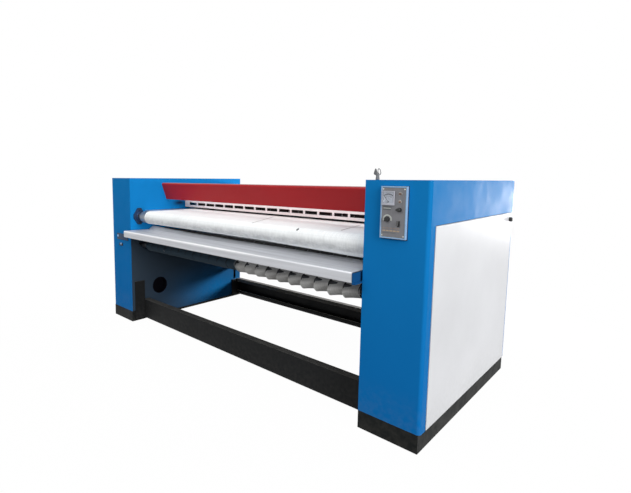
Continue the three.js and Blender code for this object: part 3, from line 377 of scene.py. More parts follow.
# red hood: lint on its top faces, and a painted highlight along its rounded top edge
red_paint = paint("red_hood_paint", (166, 35, 40), 0.36, 0.15, lint_and_highlight=0.2,
                  top_edge_highlight=(1.2545, 1.2580, (132, 106, 108), 0.8))
frame_primer = paint("frame_primer", (96, 101, 107), 0.6, 0.18, 0.1, peel=0.0003)
box_enamel = paint("box_enamel", (148, 180, 212), 0.36, 0.1)
stainless = brushed("stainless_sheet", (196, 199, 204), 0.34)
tray_steel = satin_sheet("tray_steel", (206, 208, 213), 0.42, 0.45, 0.14, (0.822, 0.836, FRONT - 0.055))
guard_steel = satin_sheet("guard_steel", (238, 230, 230), 0.4, 0.1, 0.03)
satin_plate = brushed("satin_plate", (120, 120, 124), 0.45, "Z", 0.3, 0.00003)
polished = turned_steel("polished_steel", (188, 190, 194))
oiled = turned_steel("oiled_steel", (92, 94, 98), 0.36, 0.7)
zinc = turned_steel("zinc_plate", (178, 180, 176), 0.32)
brass = turned_steel("turned_brass", (190, 152, 84), 0.3)
cast_grey = casting("cast_grey_paint", (94, 99, 106))
flange_blue = casting("flange_blue_paint", (18, 48, 84))
# dark navy for the tray bracket's bar and catch: painted shade
bracket_shade = casting("bracket_painted_shade", (22, 52, 84))
roller_grey = turned_steel("roller_grey", (150, 154, 158), 0.4)
screw_grey = casting("screw_grey", (104, 105, 106))
bolt_black = casting("black_oxide", (30, 34, 40))
white_canvas = canvas("white_canvas", (248, 251, 252), streaks=(0.905, 0.975, 0.5))
# grey belts: pale front flaps, with painted shade behind them, near the drum and at their left end
grey_canvas = canvas("grey_canvas", (216, 215, 213), 2.2, (92, 88, 82), 0.3, belt_shade=(0.17, 0.11, 0.97),
                     sheen=0.03)
darn_thread = canvas("darn_thread", (92, 92, 96))
# near-black cloth on the belts' inner side and edges: painted shade where the twisted flaps show their
# shaded inside
belt_inner_shade = canvas("belt_inner_shade", (48, 46, 48), 2.2, (30, 30, 32), 0.3, sheen=0.0)
seam_thread = canvas("seam_thread", (150, 150, 152))
black_plastic = plastic("black_plastic", (22, 23, 25))
port_black = paint("port_black", (13, 12, 19), 0.7, 0.02)
dial_white = plastic("dial_white", (178, 180, 190), 0.35)
ink = plastic("dial_ink", (46, 48, 58), 0.5)
amber = plastic("amber_lens", (112, 92, 84), 0.2)
seal_and_shadow_blue = plastic("seal_and_shadow_blue", (14, 44, 74), 0.7)
fuse_brown = plastic("fuse_brown", (104, 84, 78), 0.4)
label_tan = plastic("label_tan", (172, 150, 124), 0.5)
label_grey = plastic("label_grey", (132, 118, 112), 0.5)
strip_dark = plastic("strip_dark", (84, 90, 92), 0.5)
strip_pale = plastic("strip_pale", (186, 190, 184), 0.5)
glass = clear_glass("meter_window")


# ---- mesh building ----
def fillet(points, radii, step=radians(12)):
    """An open line of 2-D points with its corners rounded."""
    line = [Vector(points[0])]
    for before, corner, after, radius in zip(points, points[1:], points[2:], radii):
        p, a, b = Vector(corner), Vector(before), Vector(after)
        into, out = (a - p).normalized(), (b - p).normalized()
        angle = into.angle(out)
        if radius <= 0 or angle > pi - 1e-3:
            line.append(p)
            continue
        reach = min(radius / tan(angle / 2), 0.49 * (a - p).length, 0.49 * (b - p).length)
        radius = reach * tan(angle / 2)
        middle = p + (into + out).normalized() * radius / sin(angle / 2)
        start, end = p + into * reach - middle, p + out * reach - middle
        sweep = atan2(start.cross(end), start.dot(end))
        parts = max(2, ceil(abs(sweep) / step))
        for i in range(parts + 1):
            line.append(middle + Matrix.Rotation(sweep * i / parts, 2) @ start)
    line.append(Vector(points[-1]))
    return line


def thickened(line, thick):
    """The closed outline of a sheet whose outer face is the line; the sheet lies on its left."""
    inner = []
    for i, point in enumerate(line):
        before, after = line[max(i - 1, 0)], line[min(i + 1, len(line) - 1)]
        sides = [(b - a).normalized() for a, b in ((before, point), (point, after)) if (b - a).length > 1e-9]
        normals = [Vector((-d.y, d.x)) for d in sides]
        middle = sum(normals, Vector((0, 0))).normalized()
        inner.append(point + middle * thick / middle.dot(normals[0]))
    return line + inner[::-1]


TO_AXIS = {
    "X": Matrix(((0, 0, 1), (1, 0, 0), (0, 1, 0))),
    "Y": Matrix(((1, 0, 0), (0, 0, 1), (0, 1, 0))),
    "Z": Matrix.Identity(3),
}


class Shape:
    """A mesh put together from closed shells, one after the other, then made into one piece."""

    def __init__(self):
        self.mesh = bmesh.new()

    def rings(self, rings, closed=False):
        """Quads between one ring of points and the next; the last joins the first if closed."""
        loops = [[self.mesh.verts.new(p) for p in ring] for ring in rings]
        pairs = list(zip(loops, loops[1:])) + ([(loops[-1], loops[0])] if closed else [])
        for low, high in pairs:
            for i in range(len(low)):
                j = (i + 1) % len(low)
                self.mesh.faces.new((low[i], low[j], high[j], high[i]))
        if not closed:
            self.mesh.faces.new(loops[0][::-1])
            self.mesh.faces.new(loops[-1])
        return self

    def turned(self, profile, axis, place, sides=48, radii=None):
        """A profile of (radius, along) turned about an axis through place."""
        points = fillet(profile, radii or [0.0006] * (len(profile) - 2), radians(30))
        turn = TO_AXIS[axis]
        place = Vector(place)
        closed = Vector(profile[0]) == Vector(profile[-1])
        if closed:
            points = points[:-1]
        rings = []
        for radius, along in points:
            radius, angles = max(radius, 1e-5), (2 * pi * i / sides for i in range(sides))
            rings.append([place + turn @ Vector((radius * cos(a), radius * sin(a), along)) for a in angles])
        return self.rings(rings, closed)

    def prism(self, outline, x0, x1, columns=1, bend=None):
        """An outline in the side view pushed along X; bend moves each point a little."""
        rings = []
        for i in range(columns + 1):
            x = x0 + (x1 - x0) * i / columns
            ring = [Vector((x, u, v)) for u, v in outline]
            rings.append([bend(p) for p in ring] if bend else ring)
        return self.rings(rings)

    def box(self, low, high, edge=0.001, segments=2, turn=None):
        low, high = Vector(low), Vector(high)
        made = bmesh.ops.create_cube(self.mesh, size=1)["verts"]
        middle, size = (low + high) / 2, high - low
        for v in made:
            v.co = Vector(a * b for a, b in zip(v.co, size))
            v.co = (turn @ v.co if turn else v.co) + middle
        if edge:
            edges = list({e for v in made for e in v.link_edges})
            bmesh.ops.bevel(self.mesh, geom=edges, offset=edge, segments=segments, affect="EDGES",
                            profile=0.5, clamp_overlap=True)
        return self

    def done(self, name, material, slot, *nodes, body="machine", angle=32):
        """Ends the mesh as one piece that rides on a body and stands for the given nodes."""
        bmesh.ops.recalc_face_normals(self.mesh, faces=self.mesh.faces)
        sharp = radians(angle)
        for edge in self.mesh.edges:
            edge.smooth = len(edge.link_faces) == 2 and edge.calc_face_angle(0) < sharp
        for face in self.mesh.faces:
            face.smooth = True
        data = bpy.data.meshes.new(name)
        self.mesh.to_mesh(data)
        self.mesh.free()
        data.materials.append(material)
        piece = placed(name, data)
        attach(piece, body)
        if nodes:
            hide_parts(*nodes)
        return piece


def dress(node, material, edge):
    """A node of the frame keeps its shape: it gets a material and soft edges."""
    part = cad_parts[node]
    part.data.materials.clear()
    part.data.materials.append(material)
    for kind, settings in (
            ("WELD", {"merge_threshold": 0.00001}),
            ("DECIMATE", {"decimate_type": "DISSOLVE", "angle_limit": radians(0.4)}),
            ("BEVEL", {"width": edge, "segments": 2, "limit_method": "ANGLE", "angle_limit": radians(38)}),
            ("WEIGHTED_NORMAL", {"keep_sharp": False})):
        modifier = part.modifiers.new(kind.lower(), kind)
        for name, value in settings.items():
            setattr(modifier, name, value)


# ---- nodes that keep their own mesh ----
def dress_nodes():
    for node, material, edge in (
            ("plinth", plinth_paint, 0.002), ("side_frame", frame_primer, 0.0012),
            ("cabinet_casing", blue_paint, 0.0012), ("inner_panel", inner_blue, 0.0008),
            ("side_door", white_paint, 0.0009), ("door_hinge_rod", zinc, 0.0004),
            ("drum_bearing", cast_grey, 0.002), ("tray_bracket", bracket_paint, 0.0008)):
        for side in ("left", "right"):
            dress(f"{side}_{node}", material, edge)
    for node in ("motor_sprocket", "drum_sprocket", "drive_chain", "feed_drive_sprocket",
                 "feed_roller_sprocket", "feed_chain", "steam_pipe"):
        dress(node, oiled, 0.0008)
    for node, material, edge in (
            ("front_cross_beam", black_paint, 0.002), ("rear_cross_beam", rear_beam_paint, 0.002),
            ("rear_cover", blue_paint, 0.0006), ("feed_table_bed", stainless, 0.0006),
            ("finger_guard", guard_steel, 0.0009), ("gear_motor", cast_grey, 0.003),
            ("steam_rotary_joint", brass, 0.001), ("control_box", box_enamel, 0.0012),
            ("control_panel", satin_plate, 0.0003), ("meter_housing", dial_white, 0.0008),
            ("meter_needle", ink, 0.0001), ("meter_glass", glass, 0.0003),
            ("toggle_switch", black_plastic, 0.0012), ("power_gland", black_plastic, 0.0012)):
        dress(node, material, edge)


dress_nodes()


# ---- cloth ----
def wrap(circles, step):
    """A closed line round circles of (y, z, radius, turn); turn is 1 anticlockwise, -1 clockwise."""
    count = len(circles)
    leaving = []
    for i, (y, z, radius, turn) in enumerate(circles):
        y2, z2, radius2, turn2 = circles[(i + 1) % count]
        share = (turn2 * radius2 - turn * radius) / hypot(y2 - y, z2 - z)
        leaving.append(atan2(z2 - z, y2 - y) + acos(share))
    arcs = []
    for i, (y, z, radius, turn) in enumerate(circles):
        flip = pi if turn > 0 else 0.0
        start = leaving[i - 1] + flip
        sweep = ((leaving[i] + flip - start) * turn) % (2 * pi)
        parts = max(3, ceil(sweep * radius / min(step, radius * 0.3)))
        arcs.append([Vector((y + radius * cos(start + turn * sweep * j / parts),
                             z + radius * sin(start + turn * sweep * j / parts)))
                     for j in range(parts + 1)])
    line = []
    for i, arc in enumerate(arcs):
        line += arc
        start, end = arc[-1], arcs[(i + 1) % count][0]
        parts = max(1, ceil((end - start).length / step))
        line += [start.lerp(end, j / parts) for j in range(1, parts)]
    return line


def circle(node, clear, turn=1):
    """A roller for wrap(); clear is its running clearance and half the cloth."""
    middle = centre(node)
    return middle.y, middle.z, radius_of(node) + clear, turn


def stations(start, end, count):
    return [start + (end - start) * j / count for j in range(count + 1)]


def cloth_band(name, node, line, thick, xs, material, slot, move, inner_side_material=None):
    """A closed band of cloth that stands for a node: its middle line in the side view, its stations
    along X, and move(x, share of the width, index, outward), which gives how far a point shifts as
    (x, y, z); the inner-side material, if given, goes on its inner side and its edges."""
    shape = Shape()
    outward = []
    for i in range(len(line)):
        along = (line[(i + 1) % len(line)] - line[i - 1]).normalized()
        outward.append(Vector((along.y, -along.x)))
    grids = []
    for side in (0.5, -0.5):
        grid = []
        for i, p in enumerate(line):
            q = p + outward[i] * thick * side
            row = []
            for j, x in enumerate(xs):
                dx, dy, dz = move(x, j / (len(xs) - 1), i, outward[i])
                row.append(shape.mesh.verts.new((x + dx, q.x + dy, q.y + dz)))
            grid.append(row)
        grids.append(grid)
    outer, inner = grids
    face, other = shape.mesh.faces.new, 1 if inner_side_material else 0
    for i in range(len(line)):
        k = (i + 1) % len(line)
        for j in range(len(xs) - 1):
            face((outer[i][j], outer[i][j + 1], outer[k][j + 1], outer[k][j]))
            face((inner[k][j], inner[k][j + 1], inner[i][j + 1], inner[i][j])).material_index = other
        for j in (0, -1):
            face((outer[i][j], outer[k][j], inner[k][j], inner[i][j])).material_index = other
    piece = shape.done(name, material, slot, node, angle=60)
    if inner_side_material:
        piece.data.materials.append(inner_side_material)


def make_apron():
    """The white feed apron, taut on top, creased round its front roller and a little slack below."""
    low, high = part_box("feed_apron")
    rollers = ["front_feed_roller", "rear_feed_roller"]
    circles = [circle(node, FIT + APRON_THICK / 2) for node in rollers]
    line = wrap(circles, 0.0065)
    creases = [(random.uniform(low.x, high.x), random.uniform(0.003, 0.008), random.uniform(0.5, 1.6),
                random.uniform(-0.03, 0.01)) for _ in range(70)]
    nose_y, nose_z, nose_radius, _ = circles[0]
    ripple, crease, crease_tall, hem, hem_wide = 0.0005, 0.0011, 0.028, 0.0008, 0.012
    slack, slack_deep = 0.016, 0.09

    def move(x, share, i, outward):
        y, z = line[i]
        lift = ripple * (1 + noise.noise(Vector((x * 2.1, y * 5, z * 5))))
        ahead = max(0.0, (nose_y - y) / nose_radius)
        for place, width, depth, drop in creases:
            across = (x - place) / width
            if abs(across) < 3:
                level = (z - (nose_z - 0.02 + drop)) / crease_tall
                lift += depth * crease * ahead * exp(-across * across - level * level)
        below = max(0.0, (nose_z - z) / nose_radius) * exp(-((y - nose_y) / slack_deep) ** 2)
        sag = slack * below * min(1.0, max(0.0, (x - 0.35) / 0.7))
        lift += hem * exp(-(min(share, 1 - share) * (high.x - low.x) / hem_wide) ** 2)
        return 0, outward.x * lift, outward.y * lift - sag

    cloth_band("feed_apron_canvas", "feed_apron", line, APRON_THICK, stations(low.x, high.x, 190),
               white_canvas, "white_canvas", move)


def make_apron_seams():
    """Flat diagonal seams where lengths of the canvas are joined, and a darned spot."""
    top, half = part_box("feed_apron")[1].z, 0.0016
    for name, *ends in (("middle", (0.30944, 59.8), (0.100, 491)), ("right", (0.932, 150), (0.854, 492))):
        a, b = (Vector((x, FRONT + y * MM)) for x, y in ends)
        side = Vector((-(b - a).y, (b - a).x)).normalized() * half
        outline = [a - side, a + side, b + side, b - side]
        rings = [[Vector((p.x, p.y, top + h)) for p in outline] for h in (0.0, 0.0018)]
        Shape().rings(rings).done(f"apron_seam_{name}", seam_thread, "white_canvas")
    reach = radius_of("front_feed_roller") + FIT + APRON_THICK + 0.0006
    turn = Matrix.Rotation(DARN_TURN, 3, "X")
    place = centre("front_feed_roller") + turn @ Vector((0, 0, reach))
    place.x = DARN_X
    spot = Shape()
    for half in (Vector((0.0045, 0.011, 0.0010)), Vector((0.008, 0.0045, 0.0010))):
        spot.box(place - half, place + half, 0.0004, 1, turn)
    spot.done("apron_darn", darn_thread, "white_canvas")


def make_belts():
    """The grey ironing belts: separate bands round the drum, slack and twisted below the tray."""
    low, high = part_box("ironing_belts")
    order = ["entry_roller", "ironing_drum", "delivery_roller", "lower_front_roller",
             "lower_rear_roller", "upper_rear_roller"]
    circles = [circle(node, BELT_ON_DRUM + BELT_THICK / 2, -1) if node == "ironing_drum" else
               circle(node, BELT_ON_ROLLER + BELT_THICK / 2) for node in order]
    line = wrap(circles, 0.03)
    hang_y, hang_z, hang_radius, _ = circles[order.index("lower_front_roller")]
    count = round((high.x - low.x) / BELT_PITCH) - 1
    start = BELT_SHIFT - count * BELT_PITCH / 2
    taut, pinched, deeper, reach_y, reach_z = 0.12, 0.75, 0.006, 0.09, 0.06
    for k in range(count):
        x0, x1 = start + k * BELT_PITCH + BELT_GAP / 2, start + (k + 1) * BELT_PITCH - BELT_GAP / 2
        loose = min(1.0, max(taut, 0.35 + 0.9 * x0)) if x0 > 0.05 else taut
        droop, forward = loose * random.uniform(0.024, 0.029), loose * random.uniform(0.014, 0.020)
        slack, slip = random.uniform(0.0, 0.003), random.uniform(-0.0015, 0.0015)

        def move(x, share, i, outward):
            y, z = line[i]
            near = exp(-(((y - hang_y) / reach_y) ** 2 + ((z - hang_z) / reach_z) ** 2))
            left = (1 - share) ** 1.3
            under = max(0.0, (hang_z - z) / hang_radius) * near
            ahead = pinched * under * (hang_y - y) - near * (slack + forward * left)
            return slip, ahead, -near * (slack + droop * left) - deeper * under

        cloth_band(f"ironing_belt_{k + 1:02d}", "ironing_belts", line, BELT_THICK, stations(x0, x1, 5),
                   grey_canvas, "grey_canvas", move, belt_inner_shade)


make_apron()
make_apron_seams()
make_belts()


# ---- bent sheet metal ----
def folded_sheet(name, node, material, slot, outline, radii, step, columns, bend):
    """A folded sheet along the machine, from its outer face in the side view."""
    low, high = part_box(node)
    line = fillet([yz(y, z) for y, z in outline], [r * MM for r in radii], radians(step))
    sheet = Shape().prism(thickened(line[::-1], SHEET_THICK), low.x, high.x, columns, bend)
    sheet.done(name, material, slot, node)


def make_tray():
    """The outfeed tray: a deep front lip with a returned hem, a flat, and a step up at the back."""
    outline = [(-52, 785), (-73.5, 784.2), (-75, 790), (-75, 840), (176, 836), (215, 863), (236.5, 863.3),
               (237, 846)]
    left_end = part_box("outfeed_tray")[0].x
    flat_end, flat_top = yz(*outline[4])
    sinking, over = 0.68, 1.2

    def bend(p):
        """Slight waves, and a rear step that sinks away from the tray's left end."""
        wave = noise.noise(Vector((p.x * 1.7, p.y * 6, 0.3)))
        share = min(1.0, max(0.0, (p.x - left_end) / over))
        sink = sinking * share * (2 - share) * (p.z - flat_top) if p.y > flat_end else 0.0
        return p + Vector((0, 0, 0.0007 * wave - sink))

    folded_sheet("outfeed_tray_sheet", "outfeed_tray", tray_steel, "stainless", outline,
                 (3, 4, 9, 12, 8, 2), 10, 70, bend)


def make_hood():
    """The red hood: one folded sheet with a rounded upper edge and slight waves."""
    def bend(p):
        wave = noise.noise(Vector((p.x * 1.1, p.y * 2, p.z * 3)))
        return p + Vector((0, 0.0009 * wave, 0.0006 * wave))

    outline = [(399, 1108), (381.5, 1104.8), (327, 1259.5), (1279, 1243), (1279, 1150)]
    folded_sheet("red_hood_sheet", "red_hood", red_paint, "red_paint", outline, (3, 16, 14), 9, 60, bend)


make_tray()
make_hood()


# ---- turned pieces ----
def stairs(*steps):
    """The profile of a turned solid: where it starts, then the radius and the end of each step."""
    profile = [(0, steps[0])]
    for start, radius, end in zip(steps[::2], steps[1::2], steps[2::2]):
        profile += [(radius, start), (radius, end)]
    return profile + [(0, steps[-1])]


def turned_node(name, node, body, metal, slot, profile, sides, radii):
    """A node of the frame as a smooth piece turned about its own long axis."""
    middle = centre(node)
    shape = Shape().turned(profile, "X", (0, middle.y, middle.z), sides, radii)
    shape.done(name, metal, slot, node, body=body)


def make_rollers():
    """Smooth rollers, from the places and sizes of their nodes."""
    half, shaft = X_IN - 0.055, 0.012
    for node in ("entry_roller", "delivery_roller", "lower_front_roller", "lower_rear_roller",
                 "upper_rear_roller", "rear_feed_roller"):
        low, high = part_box(node)
        start, end = (ROLLER_LEFT, ROLLER_RIGHT) if node == "rear_feed_roller" else (-half, half)
        metal = oiled if node == "lower_front_roller" else polished
        turned_node(f"{node}_turned", node, node, metal, "polished_steel",
                    stairs(low.x, shaft, start, radius_of(node), end, shaft, high.x), 48,
                    [0, 0.0004, 0.002, 0.002, 0.0004, 0])


def make_front_roller():
    node, journal, stub = "front_feed_roller", 0.026, 0.014
    low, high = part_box(node)
    profile = stairs(low.x, stub, low.x + 0.034, journal, ROLLER_LEFT, radius_of(node), ROLLER_RIGHT,
                     journal, high.x)
    turned_node(f"{node}_turned", node, node, roller_grey, "dark_steel", profile, 64,
                [0, 0.0004, 0.001, 0.0004, 0.004, 0.002, 0.0004, 0])


def make_drum():
    """The hollow drum with its end discs and bored journals."""
    low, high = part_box("ironing_drum")
    radius = radius_of("ironing_drum")
    bore, journal, plate, inner, end = 0.015, 0.045, 0.012, radius - 0.008, X_IN - 0.060
    profile = [(bore, low.x), (journal, low.x), (journal, -end), (radius, -end), (radius, end),
               (journal, end), (journal, high.x), (bore, high.x), (bore, end - plate),
               (inner, end - plate), (inner, plate - end), (bore, plate - end), (bore, low.x)]
    turned_node("ironing_drum_turned", "ironing_drum", "drum", polished, "polished_steel", profile, 128,
                [0.001] * (len(profile) - 2))


def make_bearings():
    """The flanged bearings of the front feed roller: a lozenge plate, a stepped hub and four bolts."""
    half_y, half_z, flat, bore, hub, bolt = 0.056, 0.074, 0.016, 0.0266, 0.038, 0.008
    corners = [(flat, half_z), (-flat, half_z), (-half_y, flat), (-half_y, -flat)]
    corners += [(-y, -z) for y, z in corners]
    for side, sign, thick, proud in (("left", -1, 0.014, 0.020), ("right", 1, 0.010, 0.014)):
        node = f"{side}_front_roller_bearing"
        low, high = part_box(node)
        middle = centre(node)
        wall, lip = (low.x, high.x) if sign < 0 else (high.x, low.x)
        plate, foot = wall - sign * thick, wall - sign * (thick - 0.002)
        outline = [(middle.y + y, middle.z + z) for y, z in corners]
        housing, bolts = Shape(), Shape()
        housing.prism(fillet(outline + outline[:1], [0.008] * 7), min(wall, plate), max(wall, plate))
        housing.turned([(bore, foot), (hub + 0.004, foot), (hub, lip), (bore, lip), (bore, foot)], "X",
                       (0, middle.y, middle.z), 48, [0.001, 0.003, 0.001])
        housing.done(f"{side}_bearing_housing", flange_blue, "grey_casting", node)
        start, end = sorted((wall, wall - sign * proud))
        for y, z in ((0, 0.058), (0, -0.058), (0.041, 0), (-0.041, 0)):
            bolts.turned(stairs(start, bolt, end), "X", (0, middle.y + y, middle.z + z), 6, [0, 0.0008])
        bolts.done(f"{side}_bearing_bolts", bolt_black, "grey_casting")


def make_bracket_bar():
    """The left bracket's flat bar along the cabinet's front, its two round bolts and a small catch."""
    inner_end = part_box("left_tray_bracket")[0].x + 0.002
    face, catch, back = yz(-6, 0)[0], FRONT - 0.005, FRONT - 0.0003
    bar = Shape()
    bar.box((-1.402, face, 0.738), (inner_end, back, 0.794), 0.0012)
    bar.box((-1.366, catch, 0.682), (-1.306, back, 0.706), 0.0012)
    # the bar and the catch are painted dark navy as shade
    bar.done("tray_bracket_bar", bracket_shade, "blue_paint")
    head, washer = 0.0085, 0.0115
    for name, material, places in (
            # the pale heads carry a painted highlight
            ("pale", bolt_highlight, ((-1.386, 0.768, face), (-1.334, 0.698, catch))),
            ("dark", bolt_black, ((-1.355, 0.690, catch), (-1.316, 0.693, catch)))):
        heads = Shape()
        for x, z, front in places:
            heads.turned([(0, front + 0.001), (washer, front + 0.001), (washer, front - 0.001),
                          (head, front - 0.001), (head, front - 0.004), (0, front - 0.0065)], "Y",
                         (x, 0, z), 32, [0.0003, 0.0005, 0.0003, 0.002])
        heads.done(f"bracket_heads_{name}", material, "blue_paint")


def make_beam_lips():
    """The rear beam's folded lips; the top one and the edge of the lower one are painted pale as highlights
    where they catch light.
    """
    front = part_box("rear_cross_beam")[1].y - 0.050
    end = X_IN - 0.0015
    for name, material, proud, low, high in (
            ("upper", lip_highlight_grey, 0.0, 0.160, 0.1928), ("lower", rear_beam_paint, 0.0, 0.0242, 0.064),
            ("edge", lip_highlight_grey, 0.0008, 0.0600, 0.0655)):
        lip = Shape().box((-end, front + 0.0003 - proud, low), (end, front + 0.005, high), 0.0004)
        lip.done(f"rear_beam_lip_{name}", material, "black_paint")


def make_port_cup():
    low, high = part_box("round_port_cup")
    radius, wall = radius_of("round_port_cup"), 0.004
    profile = [(0, low.x), (radius, low.x), (radius, high.x), (radius - wall, high.x),
               (radius - wall, low.x + wall), (0, low.x + wall)]
    turned_node("round_port_lining", "round_port_cup", "machine", port_black, "black_paint", profile, 64,
                [0.002, 0.0015, 0.0015, 0.004])


def make_door_locks():
    """Quarter-turn locks: a domed knob with a grip across it, its shaft and the cam behind the door."""
    for side, sign in (("left", -1), ("right", 1)):
        node = f"{side}_door_lock"
        low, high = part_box(node)
        y, z = centre(node).y, high.z - LOCK_KNOB
        face, tip = sign * (X_OUT + 0.0023), (low.x if sign < 0 else high.x)
        cap, shaft, tail = tip - sign * 0.005, 0.008, sign * (X_OUT - 0.009)
        shape = Shape()
        shape.turned(stairs(face, LOCK_KNOB, cap), "X", (0, y, z), 48, [0.0008, 0.003])
        shape.turned(stairs(tail, shaft, face + sign * 0.001), "X", (0, y, z), 32)
        cam = sorted((sign * (X_OUT - 0.0085), sign * (X_OUT - 0.0045)))
        shape.box((cam[0], y - 0.007, low.z), (cam[1], y + 0.007, z), 0.0006)
        grip = sorted((cap - sign * 0.001, tip))
        shape.box((grip[0], y - 0.003, z - 0.012), (grip[1], y + 0.003, z + 0.012), 0.0014, 3)
        shape.done(f"{side}_lock_knob", black_plastic, "black_plastic", node, body=node)


make_rollers()
make_front_roller()
make_drum()
make_bearings()
make_bracket_bar()
make_beam_lips()
make_port_cup()
make_door_locks()


# ---- control box ----
box_low, box_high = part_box("control_box")
PANEL_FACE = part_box("control_panel")[0].y
SPEED, SELECTOR, TOGGLE, LAMP, FUSE = (0.28, 0.63), (0.74, 0.44), (0.71, 0.71), (0.74, 0.29), (0.74, 0.14)


def on_panel(place, out=0.0):
    """Shares of the control box's width and height from its top left corner, metres before the panel."""
    across, down = place
    return Vector((box_low.x + across * (box_high.x - box_low.x), PANEL_FACE - out,
                   box_high.z - down * (box_high.z - box_low.z)))


def boss(shape, place, profile, radii, sides=40):
    """A turned boss on the panel: its profile as (radius, metres before the panel)."""
    shape.turned([(radius, -out) for radius, out in profile], "Y", on_panel(place), sides, radii)


def make_strip(name, material, left, top, right, bottom):
    """A plain plate glued on the panel, between shares of the control box."""
    plate = Shape().box(on_panel((left, bottom), 0.0007), on_panel((right, top), -0.0001), 0.0002, 1)
    plate.done(name, material, "panel_grey")


def make_panel_plates():
    """The panel's strips and marks, the speed knob's scale, the screws, the rings and the bezel."""
    make_strip("range_strip_upper", strip_dark, 0.10, 0.385, 0.42, 0.405)
    make_strip("range_strip_pale", strip_pale, 0.12, 0.412, 0.40, 0.425)
    make_strip("range_strip_lower", strip_dark, 0.10, 0.432, 0.40, 0.452)
    for i in range(5):
        left = 0.11 + 0.135 * i
        make_strip(f"label_upper_{i + 1}", label_grey, left, 0.79, left + 0.10, 0.81)
        make_strip(f"label_lower_{i + 1}", label_tan, left, 0.84, left + 0.11, 0.862)
    make_strip("label_bar", strip_dark, 0.10, 0.885, 0.62, 0.895)
    middle, inner, outer = on_panel(SPEED), 0.0165, 0.0225
    angles = [radians(200 - 220 * i / 30) for i in range(31)]
    line = [(outer, a) for a in angles] + [(inner, a) for a in reversed(angles)]
    rings = [[Vector((middle.x + r * cos(a), PANEL_FACE - out, middle.z + r * sin(a))) for r, a in line]
             for out in (0.0, 0.0005)]
    Shape().rings(rings).done("speed_scale", strip_pale, "panel_grey")
    screws, rings, head, bore = Shape(), Shape(), 0.0035, 0.0068
    for place in ((0.09, 0.055), (0.91, 0.055), (0.09, 0.945), (0.91, 0.945)):
        boss(screws, place, [(0, 0), (head, 0), (head, 0.0012), (0, 0.0022)], [0, 0.0006], 24)
    screws.done("panel_screws", zinc, "panel_grey")
    for place, foot, rim, tall, edge in (
            (LAMP, 0.0088, 0.0086, 0.0022, 0.0006), (FUSE, 0.0086, 0.0084, 0.0016, 0.0005)):
        boss(rings, place, [(bore, 0), (foot, 0), (rim, tall), (bore, tall), (bore, 0)],
             [0.0003, edge, edge])
    rings.done("panel_rings", zinc, "panel_grey")
    half = Vector((0.0075, 0, 0.0145))
    bezel = Shape().box(on_panel(TOGGLE, 0.001) - half, on_panel(TOGGLE, -0.0001) + half, 0.0004)
    bezel.done("toggle_bezel", black_plastic, "black_plastic")


def make_seal_and_shadow():
    """The dark rubber seal round the control box; it shows 4 mm out on the right and below, 2 mm on top and
    not on the left, as a painted contact shadow.
    """
    seal = Shape().box((box_low.x, FRONT - 0.0012, box_low.z - 0.004),
                       (box_high.x + 0.004, FRONT, box_high.z + 0.002), 0.0003, 1)
    seal.done("control_box_seal_and_shadow", seal_and_shadow_blue, "black_plastic")


def make_dial():
    """The meter's scale: a thick arc, ticks and plain numbers, printed on the dial behind its window."""
    low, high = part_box("meter_housing")
    face = PANEL_FACE - 0.0023
    pivot = Vector(((low.x + high.x) / 2, face, low.z + 0.016))
    swing, steps, inner, outer = 38, 40, 0.0345, 0.0385
    tall, reading = 0.0055, 0.0235             # the numbers' height and distance from the pivot

    def at(angle, radius, out):
        return pivot + Vector((radius * sin(angle), -out, radius * cos(angle)))

    arc = Shape()
    angles = [radians(-swing + 2 * swing * i / steps) for i in range(steps + 1)]
    arc.rings([[at(a, outer, out) for a in angles] + [at(a, inner, out) for a in reversed(angles)]
               for out in (-0.0001, 0.00015)])
    for i in range(11):
        angle = radians(-swing + 2 * swing * i / 10)
        tick = Vector((0.0004, 0.0001, 0.002 if i % 2 else 0.003))
        middle = at(angle, inner - tick.z, 0.0)
        arc.box(middle - tick, middle + tick, 0, turn=Matrix.Rotation(angle, 3, "Y"))
    arc.done("dial_scale", ink, "dial_white")
    for i in range(6):
        angle = radians(-swing + 2 * swing * i / 5)
        curve = bpy.data.curves.new("number", "FONT")
        curve.body, curve.size, curve.align_x, curve.extrude = str(5 * i), tall, "CENTER", 0.0001
        words = bpy.data.objects.new("number", curve)
        mesh = bpy.data.meshes.new_from_object(words)
        bpy.data.objects.remove(words)
        number = placed(f"dial_number_{5 * i:02d}", mesh)
        mesh.materials.clear()
        mesh.materials.append(ink)
        place = Matrix.Translation(at(angle, reading, 0.0001))
        number.matrix_world = place @ Matrix.Rotation(pi / 2, 4, "X")
        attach(number, "machine")


